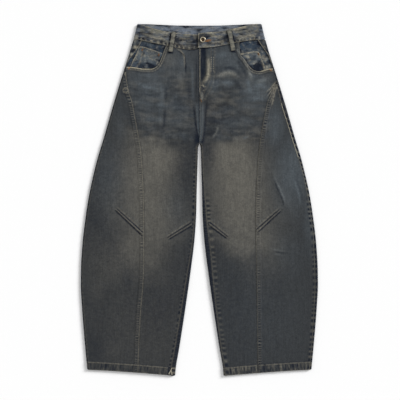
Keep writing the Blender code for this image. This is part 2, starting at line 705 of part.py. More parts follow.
def build_belt_loop(side):
    """A folded strip that arches over the waistband, its lower end folded under."""
    top_x, top_y, low_x, low_y = BELT_LOOPS[side]
    start, end = np.array((top_x, top_y)), np.array((low_x, low_y))
    way = (end - start) / np.linalg.norm(end - start)
    sideways = np.array((-way[1], way[0])) * LOOP_WIDTH / 2
    sign = -1.0 if side == "right" else 1.0
    vertices = []
    for share, low, thickness in LOOP_SECTIONS:
        middle = start + share * (end - start)
        for edge, height in ((-1, low), (1, low), (1, low + thickness), (-1, low + thickness)):
            spot = middle + edge * sideways
            vertices.append((sign * spot[0] * MM, (LENGTH / 2 - spot[1]) * MM, height * MM))
    faces = [(3, 2, 1, 0)]
    last = 4 * (len(LOOP_SECTIONS) - 1)
    for ring in range(0, last, 4):
        faces += [(ring + i, ring + (i + 1) % 4, ring + 4 + (i + 1) % 4, ring + 4 + i) for i in range(4)]
    faces.append((last, last + 1, last + 2, last + 3))
    solid(f"belt_loop_front_{side}", vertices, faces, DENIM_BAND)


def build_button():
    """The hollow ring button, turned about its shank, which stands on the upper front band."""
    base = BAND_DEPTH + LAP_RISE + SEAM_GAP
    count = BUTTON_SIDES
    vertices = []
    for radius, height in BUTTON_SECTION:
        for i in range(count):
            turn = 2 * math.pi * i / count
            x = BUTTON_ACROSS + radius * math.cos(turn)
            y = LENGTH / 2 - BUTTON_DOWN + radius * math.sin(turn)
            vertices.append((x * MM, y * MM, (base + height) * MM))
    faces = [tuple(range(count))]
    for ring in range(len(BUTTON_SECTION) - 1):
        first = ring * count
        faces += [(first + i, first + (i + 1) % count, first + count + (i + 1) % count, first + count + i)
                  for i in range(count)]
    last = (len(BUTTON_SECTION) - 1) * count
    faces.append(tuple(last + i for i in range(count)))
    solid("waist_button", vertices, faces, BUTTON_METAL)


def main():
    for thing in list(bpy.data.objects):
        bpy.data.objects.remove(thing, do_unlink=True)
    for side in ("right", "left"):
        build_front_inner(side)
        build_front_outer(side)
        build_back(side)
        build_facing(side)
        build_front_band(side)
        build_belt_loop(side)
    build_patch("right", "coin_pocket_right")
    build_patch("left", "small_pocket_left")
    build_back_band()
    build_button()


main()
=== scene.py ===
"""Looks of the wide-leg jeans, laid flat with the front up.

Every piece of cloth is a thin shell cut from the same pattern as its solid. A pattern place is (across,
down): millimetres out from the centre line and below the top of the waist. Heights are millimetres above
the floor, and all of them become metres when a mesh is made.
"""

import logging
import math
from dataclasses import dataclass, field
from enum import Enum
from typing import ClassVar

import bmesh
import bpy
import numpy as np
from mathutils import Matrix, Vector
from mathutils.geometry import delaunay_2d_cdt


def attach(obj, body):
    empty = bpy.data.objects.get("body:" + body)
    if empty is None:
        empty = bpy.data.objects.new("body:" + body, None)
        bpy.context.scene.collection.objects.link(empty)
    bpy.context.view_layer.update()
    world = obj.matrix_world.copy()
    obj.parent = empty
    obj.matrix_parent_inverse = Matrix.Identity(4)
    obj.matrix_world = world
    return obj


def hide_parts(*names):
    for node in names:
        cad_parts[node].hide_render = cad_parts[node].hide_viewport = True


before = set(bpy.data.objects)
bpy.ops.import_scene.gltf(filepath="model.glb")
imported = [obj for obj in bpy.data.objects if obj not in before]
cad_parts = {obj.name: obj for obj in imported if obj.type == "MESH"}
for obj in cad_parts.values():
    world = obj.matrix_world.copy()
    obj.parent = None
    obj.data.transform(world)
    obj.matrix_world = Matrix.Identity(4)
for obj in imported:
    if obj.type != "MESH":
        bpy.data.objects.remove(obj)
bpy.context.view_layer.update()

LOG = logging.getLogger("jeans")
Points = np.ndarray
Values = np.ndarray
Colour = tuple[float, float, float]
Socket = bpy.types.NodeSocket

MM = 0.001
BODY = "root"
LENGTH = 1040.0
FAR = 99.0
SHARP_ANGLE = math.radians(50)
MARK_NAMES = ("fade", "pale", "worn", "deep", "whisker")


class Side(Enum):
    """One half of the garment, named as the wearer's."""

    RIGHT = -1
    LEFT = 1

    @property
    def word(self) -> str:
        """The half's name as the pieces are named."""
        return self.name.lower()


class Panel(Enum):
    """Which front panel a sewn form lies on."""

    INNER = "inner"
    OUTER = "outer"


class Thread(Enum):
    """Sewing threads of the garment."""

    TONAL = "tonal"
    FADED = "faded"
    CREAM = "cream"
    TAN = "tan"
    RUST = "rust"


def limit(value: Values) -> Values:
    """The value, kept between 0 and 1."""
    return np.clip(value, 0.0, 1.0)


def smooth_step(value: Values) -> Values:
    """0 below 0, 1 above 1 and a soft rise between."""
    value = limit(value)
    return value * value * (3 - 2 * value)


def bell(away: Values, width: float, power: float = 2) -> Values:
    """1 where away is 0, and about a third at the width. A higher power makes the sides steeper."""
    return np.exp(-(away / width) ** power)


def pairs(across: Values, down: Values) -> Points:
    """Pattern points. Either distance may be one number for all of them."""
    return np.column_stack(np.broadcast_arrays(across, down))


def raised(points: Points, height: Values) -> Points:
    """Pattern points with a height, which may be one number for all of them."""
    return np.column_stack((points, np.broadcast_to(height, len(points))))


def ease(rows: tuple, column: int, at: Values) -> Values:
    """Reads a table on a smooth curve that doesn't overshoot its rows.

    Args:
        rows: The table, whose first column rises.
        column: The column to read.
        at: Places along the first column.

    Returns:
        The column's value at each place.
    """
    table = np.array([(row[0], row[column]) for row in rows], dtype=float)
    places, values = table[:, 0], table[:, 1]
    step = np.diff(places)
    slope = np.diff(values) / step
    before, after = slope[:-1], slope[1:]
    same_way = before * after > 0
    mean = np.where(same_way, 2 * before * after / np.where(same_way, before + after, 1.0), 0.0)
    tangent = np.concatenate(([slope[0]], mean, [slope[-1]]))
    at = np.clip(np.asarray(at, dtype=float), places[0], places[-1])
    span = np.clip(np.searchsorted(places, at) - 1, 0, len(step) - 1)
    share = (at - places[span]) / step[span]
    start = (1 + 2 * share) * (1 - share) ** 2 * values[span]
    end = share ** 2 * (3 - 2 * share) * values[span + 1]
    start_slope = share * (1 - share) ** 2 * step[span] * tangent[span]
    end_slope = share ** 2 * (share - 1) * step[span] * tangent[span + 1]
    return start + end + start_slope + end_slope


def steps(start: float, end: float, step: float) -> Values:
    """Evenly spaced values from start to end, no further apart than step."""
    return np.linspace(start, end, max(2, math.ceil(abs(end - start) / step) + 1))


def offset(points: Points, distance: float) -> Points:
    """Moves a line sideways, to its left where down is taken as up.

    Args:
        points: The line's points.
        distance: How far it moves.

    Returns:
        The moved points.
    """
    along = np.gradient(np.asarray(points, dtype=float), axis=0)
    along /= np.linalg.norm(along, axis=1)[:, None]
    return points + distance * pairs(-along[:, 1], along[:, 0])


def run_along(points: Points) -> Values:
    """Distance along a line to each of its points."""
    return np.concatenate(([0], np.cumsum(np.linalg.norm(np.diff(points, axis=0), axis=1))))


def round_line(points: Points, step: float) -> Points:
    """Draws a smooth line through a few points.

    Args:
        points: The points, in order.
        step: The most that two samples lie apart.

    Returns:
        The line's samples.
    """
    points = np.asarray(points, dtype=float)
    run = run_along(points)
    at = steps(0, run[-1], step)
    return pairs(*(ease(pairs(run, points[:, axis]), 1, at) for axis in (0, 1)))


def spread_out(outline: Points, least: float) -> Points:
    """A closed outline without the corners that nearly repeat the one before."""
    apart = np.linalg.norm(outline - np.roll(outline, 1, axis=0), axis=1)
    return outline[apart > least]


def inside(points: Points, outline: Points) -> Values:
    """Finds the points that lie inside an outline.

    Args:
        points: The points.
        outline: The closed outline's corners, in order.

    Returns:
        Whether each point lies inside.
    """
    x, y = points[:, 0], points[:, 1]
    found = np.zeros(len(points), dtype=bool)
    for (x1, y1), (x2, y2) in zip(outline, np.roll(outline, -1, axis=0)):
        if y1 != y2:
            crosses = (y1 > y) != (y2 > y)
            found ^= crosses & (x < (x2 - x1) * (y - y1) / (y2 - y1) + x1)
    return found


def locate(points: Points, line: Points, margin: float = 30.0) -> tuple[Values, Values]:
    """Finds where points lie beside a line.

    Args:
        points: The points.
        line: The line's points in order.
        margin: How far from the line's box points are still measured.

    Returns:
        Each point's distance from the line, and the run along it to the nearest place.
    """
    line = np.asarray(line, dtype=float)
    distance = np.full(len(points), 1000.0)
    along = np.zeros(len(points))
    low, high = line.min(axis=0) - margin, line.max(axis=0) + margin
    near = np.flatnonzero(((points > low) & (points < high)).all(axis=1))
    close = points[near]
    best, place = np.full(len(near), 1000.0), np.zeros(len(near))
    run = run_along(line)
    for index, (start, end) in enumerate(zip(line[:-1], line[1:])):
        way = end - start
        share = limit(((close - start) @ way) / max(way @ way, 1e-9))
        gap = np.hypot(*(close - start - share[:, None] * way).T)
        nearer = gap < best
        best = np.where(nearer, gap, best)
        place = np.where(nearer, run[index] + share * (run[index + 1] - run[index]), place)
    distance[near], along[near] = best, place
    return distance, along


def ripple(along: Values, spacing: float, seed: float) -> Values:
    """Uneven waves along a seam.

    Args:
        along: Run along the seam.
        spacing: Mean distance between two crests.
        seed: A number that sets this seam's own waves.

    Returns:
        The wave's height, from -1 to 1.
    """
    drift = 0.55 * np.sin(along / (spacing * 3.7) + seed)
    drift = drift + 0.35 * np.sin(along / (spacing * 1.3) + 2.1 * seed)
    strength = 0.72 + 0.28 * np.sin(along / (spacing * 5.3) + 1.7 * seed)
    return strength * np.cos(2 * math.pi * (along / spacing + drift))


def lattice(x: Values, y: Values, seed: int) -> Values:
    """A repeatable number from 0 to 1 for each whole place."""
    value = np.sin(x * 127.1 + y * 311.7 + seed * 74.7) * 43758.5453
    return value - np.floor(value)


def cloth_noise(x: Values, y: Values, size: float, seed: int) -> Values:
    """Soft uneven hills and hollows.

    Args:
        x: Places across.
        y: Places down.
        size: Spacing of the hills.
        seed: A whole number that sets the pattern.

    Returns:
        Heights from -1 to 1.
    """
    x, y = x / size, y / size
    left, top = np.floor(x), np.floor(y)
    across, down = smooth_step(x - left), smooth_step(y - top)
    upper, lower = (lattice(left, row, seed) * (1 - across) + lattice(left + 1, row, seed) * across
                    for row in (top, top + 1))
    return 2 * (upper * (1 - down) + lower * down) - 1


def tone(red: int, green: int, blue: int) -> Colour:
    """A surface colour from its screen values of 0 to 255."""
    return tuple(((level / 255 + 0.055) / 1.055) ** 2.4 for level in (red, green, blue))


@dataclass(frozen=True)
class Pattern:
    """The cut of the garment, in millimetres. It repeats the solids' own sizes."""

    crotch: float = 352.0
    hem_side: float = 1022.0
    hem_height: float = 24.0
    seam_gap: float = 0.3
    denim: float = 1.3
    leg_depth: float = 4.4
    band_cloth: float = 2.6
    band_depth: float = 5.5
    centre: float = 0.4
    seam_width: float = 12.0
    seam_rise: float = 0.8
    hem_rise: float = 0.8
    fly_rise: float = 0.9
    mouth_width: float = 9.0
    mouth_rise: float = 0.6
    lap_rise: float = 2.9
    lap_reach: float = 28.0
    lap_slope: float = 26.0
    band_side_seam: float = 12.0
    turn_under: float = 10.0
    facing_cloth: float = 1.2
    patch_cloth: float = 1.1
    dart_width: float = 8.0
    dart_rise: float = 1.4
    dart_foot: float = 4.6
    # down, across
    outseam_rows: tuple = (
        (0, 183.6), (35, 192.0), (53, 197.0), (88, 207.4), (153, 228.1), (248, 257.0), (343, 284.4),
        (390, 298.9), (437, 311.1), (508, 326.5), (580, 337.6), (650, 345.6), (721, 349.9), (769, 350.6),
        (840, 346.9), (911, 341.5), (982, 335.1), (1022, 331.2), (1040, 329.5),
    )
    # down, across
    inner_rows: tuple = (
        (352, 1.6), (366, 3.8), (437, 6.1), (485, 7.7), (556, 9.2), (627, 13.5), (674, 18.5), (721, 24.6),
        (769, 31.1), (816, 37.9), (863, 44.8), (911, 52.2), (958, 59.6), (1020, 70.0), (1040, 71.6),
    )
    # across, top edge down, bottom edge down
    front_band_rows: ClassVar[dict] = {
        Side.RIGHT: (
            (-24, 31.0, 67.5), (0, 31.7, 69.5), (12, 31.3, 75.0), (24, 30.8, 76.0), (54, 29.0, 72.5),
            (84, 25.3, 66.3), (114, 19.5, 60.0), (144, 10.7, 54.2), (167, 3.0, 49.0), (184, 0.0, 46.2),
            (205, 0.0, 45.6),
        ),
        Side.LEFT: (
            (-3, 28.5, 70.6), (17, 26.0, 70.2), (32, 25.0, 69.0), (60, 22.6, 64.6), (80, 19.3, 61.0),
            (97, 14.8, 57.6), (123, 8.9, 52.2), (146, 3.8, 48.6), (168, 0.3, 46.8), (184, 0.0, 46.0),
            (205, 0.0, 45.6),
        ),
    }
    # across, top edge down, bottom edge down
    back_band_rows: tuple = (
        (0, 5.0, 46.0), (60, 4.4, 45.8), (120, 2.0, 45.7), (160, 0.3, 45.6), (184, 0, 45.6), (205, 0, 45.6),
    )
    # down, distance in from the folded edge
    side_seam_rows: ClassVar[dict] = {
        Side.RIGHT: ((40, 26), (58, 24), (68, 21), (92, 11), (106, 4.5), (120, 3.3), (1040, 3.3)),
        Side.LEFT: (
            (40, 25), (60, 18), (85, 8), (98, 4), (128, 4), (200, 7), (248, 10), (300, 8.5), (390, 7),
            (465, 5), (617, 5), (668, 7.5), (760, 7.5), (990, 4.5), (1040, 4.5),
        ),
    }
    # down, distance in from the folded edge
    inseam_rows: ClassVar[dict] = {
        Side.RIGHT: ((352, 3.3), (497, 3.3), (650, 5), (750, 9), (920, 12), (1040, 13)),
        Side.LEFT: (
            (352, 3.3), (450, 5), (560, 10), (668, 14), (727, 12), (893, 6), (1006, 3.4), (1040, 3.3),
        ),
    }
    # down, across
    curved_seam_rows: ClassVar[dict] = {
        Side.RIGHT: (
            (136, 218.5), (162, 215.7), (205, 207.7), (227, 199.7), (275, 190.6), (324, 181.4),
            (381, 172.5), (451, 167.8), (526, 164.8), (617, 164.3), (698, 163.8), (766, 166.3),
            (837, 172.2), (923, 177.8), (1004, 180.5), (1040, 181.0),
        ),
        Side.LEFT: (
            (172, 226.6), (195, 215.7), (227, 202.5), (269, 193.2), (306, 185.9), (346, 179.9),
            (405, 173.5), (466, 170.2), (526, 167.8), (611, 166.8), (695, 168.8), (807, 170.4),
            (923, 171.6), (1040, 173.1),
        ),
    }
    # across, down
    mouth_points: ClassVar[dict] = {
        Side.RIGHT: (
            (98, 64), (102.4, 74.3), (105.9, 83), (110.7, 96.8), (117.5, 113), (127, 126), (142, 132.5),
            (167, 132.3), (184, 129.5), (202, 127.4), (213.5, 126.8),
        ),
        Side.LEFT: (
            (117.6, 54), (118.4, 68), (121, 88.8), (133, 104), (144, 119.5), (156, 133), (166.6, 138.5),
            (178, 139.8), (191, 136.5), (205.6, 132.6), (216.0, 132.0),
        ),
    }
    # across, down
    patch_points: ClassVar[dict] = {
        Side.RIGHT: (
            (113, 85), (117.5, 83.4), (134, 77.5), (163, 68.4), (175, 66.6), (186, 88), (198, 112),
            (203.5, 126),
        ),
        Side.LEFT: ((122, 87.6), (144, 84), (166, 80.8), (176.4, 83.7), (183, 101), (191, 119), (194, 134)),
    }
    # across and down of a knee dart's wide end, across and down of its tip
    darts: ClassVar[dict] = {
        (Side.RIGHT, Panel.OUTER): (166.0, 623.0, 248.0, 547.0),
        (Side.RIGHT, Panel.INNER): (22.0, 591.0, 94.0, 635.0),
        (Side.LEFT, Panel.OUTER): (169.0, 613.0, 239.0, 550.0),
        (Side.LEFT, Panel.INNER): (28.0, 590.0, 83.0, 632.0),
    }
    # across, down, length, width, angle from level, rise
    fold_rows: ClassVar[dict] = {
        Side.RIGHT: (
            (52, 118, 90, 15, -80, 0.8), (60, 255, 130, 26, 14, 1.0), (75, 292, 150, 24, 10, 1.1),
            (60, 330, 120, 26, 4, 1.0), (205, 470, 120, 40, -70, 0.8), (110, 640, 160, 60, 10, 0.8),
            (240, 650, 150, 60, -20, 0.8), (250, 800, 180, 60, 85, 0.6), (120, 860, 200, 60, 88, 0.6),
        ),
        Side.LEFT: (
            (78, 146, 46, 16, 0, 0.9), (138, 126, 84, 14, -64, 1.0), (60, 262, 130, 26, 12, 1.0),
            (72, 300, 150, 24, 8, 1.1), (60, 336, 110, 26, 2, 0.9), (210, 205, 70, 12, -38, 0.9),
            (237, 496, 105, 18, -64, 1.3), (110, 640, 160, 60, 10, 0.8), (235, 655, 120, 40, -18, 0.9),
            (250, 810, 180, 60, 85, 0.6), (110, 860, 200, 60, 88, 0.6),
        ),
    }
    # down, across
    fly_rows: tuple = ((70, 40), (120, 40), (158, 38), (178, 33), (200, 22), (215, 14), (229, 3))

    def outseam(self, down: Values) -> Values:
        """Half width of the garment at a distance down."""
        return ease(self.outseam_rows, 1, down)

    def inner_edge(self, down: Values) -> Values:
        """Distance across to the inner edge of a leg."""
        return ease(self.inner_rows, 1, down)

    def hem_line(self, across: Values) -> Values:
        """Finds the hem's bottom edge.

        Args:
            across: Places across.

        Returns:
            How far down it is.
        """
        side, inner = float(self.outseam(self.hem_side)), float(self.inner_edge(LENGTH))
        share = limit((side - np.asarray(across, dtype=float)) / (side - inner))
        return self.hem_side + (LENGTH - self.hem_side) * share ** 1.3

    def hem_edge(self, start: float, end: float, step: float, up: float = 0.0) -> Points:
        """A line along the hem from one distance across to another, at a height above its bottom edge."""
        across = steps(start, end, step)
        return pairs(across, self.hem_line(across) - up)

    def band_edge(self, side: Side, column: int, across: Values) -> Values:
        """The front waistband's top edge for column 1, and its bottom edge for column 2."""
        return ease(self.front_band_rows[side], column, across)

    def side_seam(self, side: Side, down: Values) -> Values:
        """Distance across to the side seam on the front."""
        return self.outseam(down) - ease(self.side_seam_rows[side], 1, down)

    def inseam(self, side: Side, down: Values) -> Values:
        """Distance across to the inseam on the front."""
        return self.inner_edge(down) + ease(self.inseam_rows[side], 1, down)

    def curved_seam(self, side: Side, down: Values) -> Values:
        """Distance across to the curved front seam."""
        return ease(self.curved_seam_rows[side], 1, down)

    def seam_top(self, side: Side) -> float:
        """How far down the curved front seam starts."""
        return float(self.curved_seam_rows[side][0][0])

    def mouth(self, side: Side, step: float = 6.0) -> Points:
        """The pocket mouth's line, from the waistband to the side seam."""
        return round_line(self.mouth_points[side], step)

    def fly(self, step: float) -> Points:
        """The fly front's curved edge, from the waistband to its foot."""
        return round_line([(across, down) for down, across in self.fly_rows], step)

    def seam_line(self, side: Side, edge: str, start: float, step: float) -> Points:
        """One of the long seams on the front, down to the hem.

        Args:
            side: The half of the garment.
            edge: The name of the method that gives the seam.
            start: How far down the line starts.
            step: The spacing of its points.

        Returns:
            The seam's points, from the top.
        """
        place = getattr(self, edge)
        down = steps(start, float(self.hem_line(place(side, self.hem_side))), step)
        return pairs(place(side, down), down)

    def swell(self, side: Side, across: Values, down: Values) -> Values:
        """How far the whole wall of the front rises on its soft folds.

        Args:
            side: The half of the garment.
            across: Places across.
            down: Places down.

        Returns:
            The rise at each place, nothing at the folded edges.
        """
        height = np.zeros_like(across)
        for fold_across, fold_down, length, width, angle, rise in self.fold_rows[side]:
            turn = math.radians(angle)
            dx, dy = across - fold_across, down - fold_down
            along = dx * math.cos(turn) - dy * math.sin(turn)
            sideways = dx * math.sin(turn) + dy * math.cos(turn)
            height += rise * bell(2 * along, length) * bell(2 * sideways, width)
        room = self.outseam(down) - across
        room = np.where(down > self.crotch, np.minimum(room, across - self.inner_edge(down)), room)
        return height * smooth_step((room - 6) / 30)

    def dart_place(self, side: Side, panel: Panel, across: Values, down: Values) -> tuple:
        """Where places lie beside a knee dart.

        Args:
            side: The half of the garment.
            panel: The panel that the dart is in.
            across: Places across.
            down: Places down.

        Returns:
            The share of the dart's length, the distance below its crest, and its half width there.
        """
        start_x, start_y, tip_x, tip_y = self.darts[(side, panel)]
        length = math.hypot(tip_x - start_x, tip_y - start_y)
        way_x, way_y = (tip_x - start_x) / length, (tip_y - start_y) / length
        dx, dy = across - start_x, down - start_y
        share = (dx * way_x + dy * way_y) / length
        sideways = dx * way_y - dy * way_x
        half = self.dart_width / 2 * (1 - limit(share)) + 1.0
        return share, sideways if tip_x < start_x else -sideways, half

    def dart_guides(self, side: Side, panel: Panel, step: float) -> list:
        """Lines along a knee dart: its crest, its feet and the shade beside them.

        Args:
            side: The half of the garment.
            panel: The panel that the dart is in.
            step: The spacing of their points.

        Returns:
            The lines, with the crest in the middle.
        """
        start, tip = np.array(self.darts[(side, panel)]).reshape(2, 2)
        length = np.linalg.norm(tip - start)
        way = (tip - start) / length
        normal = np.array((-way[1], way[0]))
        share = steps(0.01, 0.99, step / length)[:, None]
        crest = start + share * (tip - start)
        foot = self.dart_foot * (1 - 0.35 * share)
        rows = ((-1, -4.4), (-1, -2.0), (-1, 0), (-0.5, 0), (0, 0), (0.5, 0), (1, 0), (1, 2.0), (1, 4.4))
        return [crest + (factor * foot + extra) * normal for factor, extra in rows]

    def hem_guides(self, step: float) -> list:
        """Draws lines along the turned hem, at rising distances from its bottom edge.

        Args:
            step: The most that two of their points lie apart.

        Returns:
            The lines.
        """
        top = self.hem_height
        return [self.hem_edge(66, 336, min(step, 1.8), up)
                for up in (2.2, 4.4, 8.0, 12.0, 16.0, 19.5, 22.0, top, top + 1.5, 28.0)]


def strip(distance: Values, width: float) -> Values:
    """1 over the width of a lapped strip, then down to 0 within 1.5 mm."""
    return np.clip(width + 1.5 - distance, 0, 1.5) / 1.5


@dataclass
class Marks:
    """What sewing and wear left at places of the cloth, with painted highlights and painted shade: shares
    from 0 to 1, and the face's rise in mm.
    """

    placed: Points
    fade: Values = field(init=False)
    pale: Values = field(init=False)
    worn: Values = field(init=False)
    deep: Values = field(init=False)
    whisker: Values = field(init=False)
    lift: Values = field(init=False)

    def __post_init__(self) -> None:
        """Starts with new flat cloth."""
        self.flat = self.placed[:, :2]
        self.across, self.down = self.flat.T
        for name in (*MARK_NAMES, "lift"):
            setattr(self, name, np.zeros(len(self.placed)))

    def wear(self, share: Values) -> None:
        """Adds worn cloth, which some callers use as a painted highlight, where it shows more than what is
        there.
        """
        self.worn = np.maximum(self.worn, share)

    def darken(self, share: Values) -> None:
        """Adds dark cloth, which many callers use as painted shade, where it shows more than what is there.
        """
        self.deep = np.maximum(self.deep, share)

    def noise(self, size: float, seed: int, across: float = 1.0, down: float = 1.0) -> Values:
        """Hills and hollows from -1 to 1, drawn out across or down by a factor below 1."""
        return cloth_noise(self.across * across, self.down * down, size, seed)

    def spot(self, across: float, down: float, width: float, height: float, power: int = 1) -> Values:
        """1 in the middle of a round patch, soft at its edges and firmer for a higher power."""
        away = ((self.across - across) / width) ** 2 + ((self.down - down) / height) ** 2
        return np.exp(-away ** power)


@dataclass(frozen=True)
class SeamWearAndShade:
    """How a sewn edge has worn and puckered, with painted shade in its pucker troughs. Lengths are in
    millimetres, and the marks are shares.
    """

    width: float
    edge: float
    crest: float
    trough: float
    spacing: float
    rise: float
    line: float
    seed: float

    def press(self, marks: Marks, distance: Values, along: Values) -> None:
        """Puts the seam's wear, its puckers and the painted shade in their troughs on a piece.

        Args:
            marks: The piece's marks, which are changed.
            distance: Each point's distance from the sewn edge.
            along: Each point's run along it.
        """
        wave = ripple(along, self.spacing, self.seed)
        reach = smooth_step((self.width - distance) / 4)
        line = bell(distance, self.line)
        marks.wear(line * self.edge * (0.8 + 0.2 * wave))
        marks.wear(reach * limit(wave) * self.crest)
        # darker in the pucker troughs: partly unworn dye, partly painted shade
        marks.darken(reach * limit(-wave) * self.trough * (1 - line))
        marks.lift += self.rise * wave * smooth_step((self.width + 3 - distance) / 7)


@dataclass(frozen=True)
class Crease:
    """A crease, a shade or a rubbed line. Its points are across and down."""

    points: tuple
    width: float
    lift: float
    fade: float = 0.0
    pale: float = 0.0
    worn: float = 0.0
    deep: float = 0.0
    taper: float = 0.25

    def press(self, marks: Marks) -> None:
        """Puts the crease on a piece.

        Args:
            marks: The piece's marks, which are changed.
        """
        line = round_line(self.points, 3.0)
        distance, along = locate(marks.flat, line, 4 * self.width)
        length = run_along(line)[-1]
        end = self.taper * length
        ends = smooth_step(along / end) * smooth_step((length - along) / end)
        share = bell(distance, self.width) * (0.15 + 0.85 * ends)
        # on a raised crease, fade, pale and worn are partly real fading and partly a painted highlight; deep
        # beside a raised crease or on a sunken one is painted shade
        marks.fade += self.fade * share
        marks.pale += self.pale * share
        marks.wear(self.worn * share)
        marks.darken(self.deep * share)
        marks.lift += self.lift * share


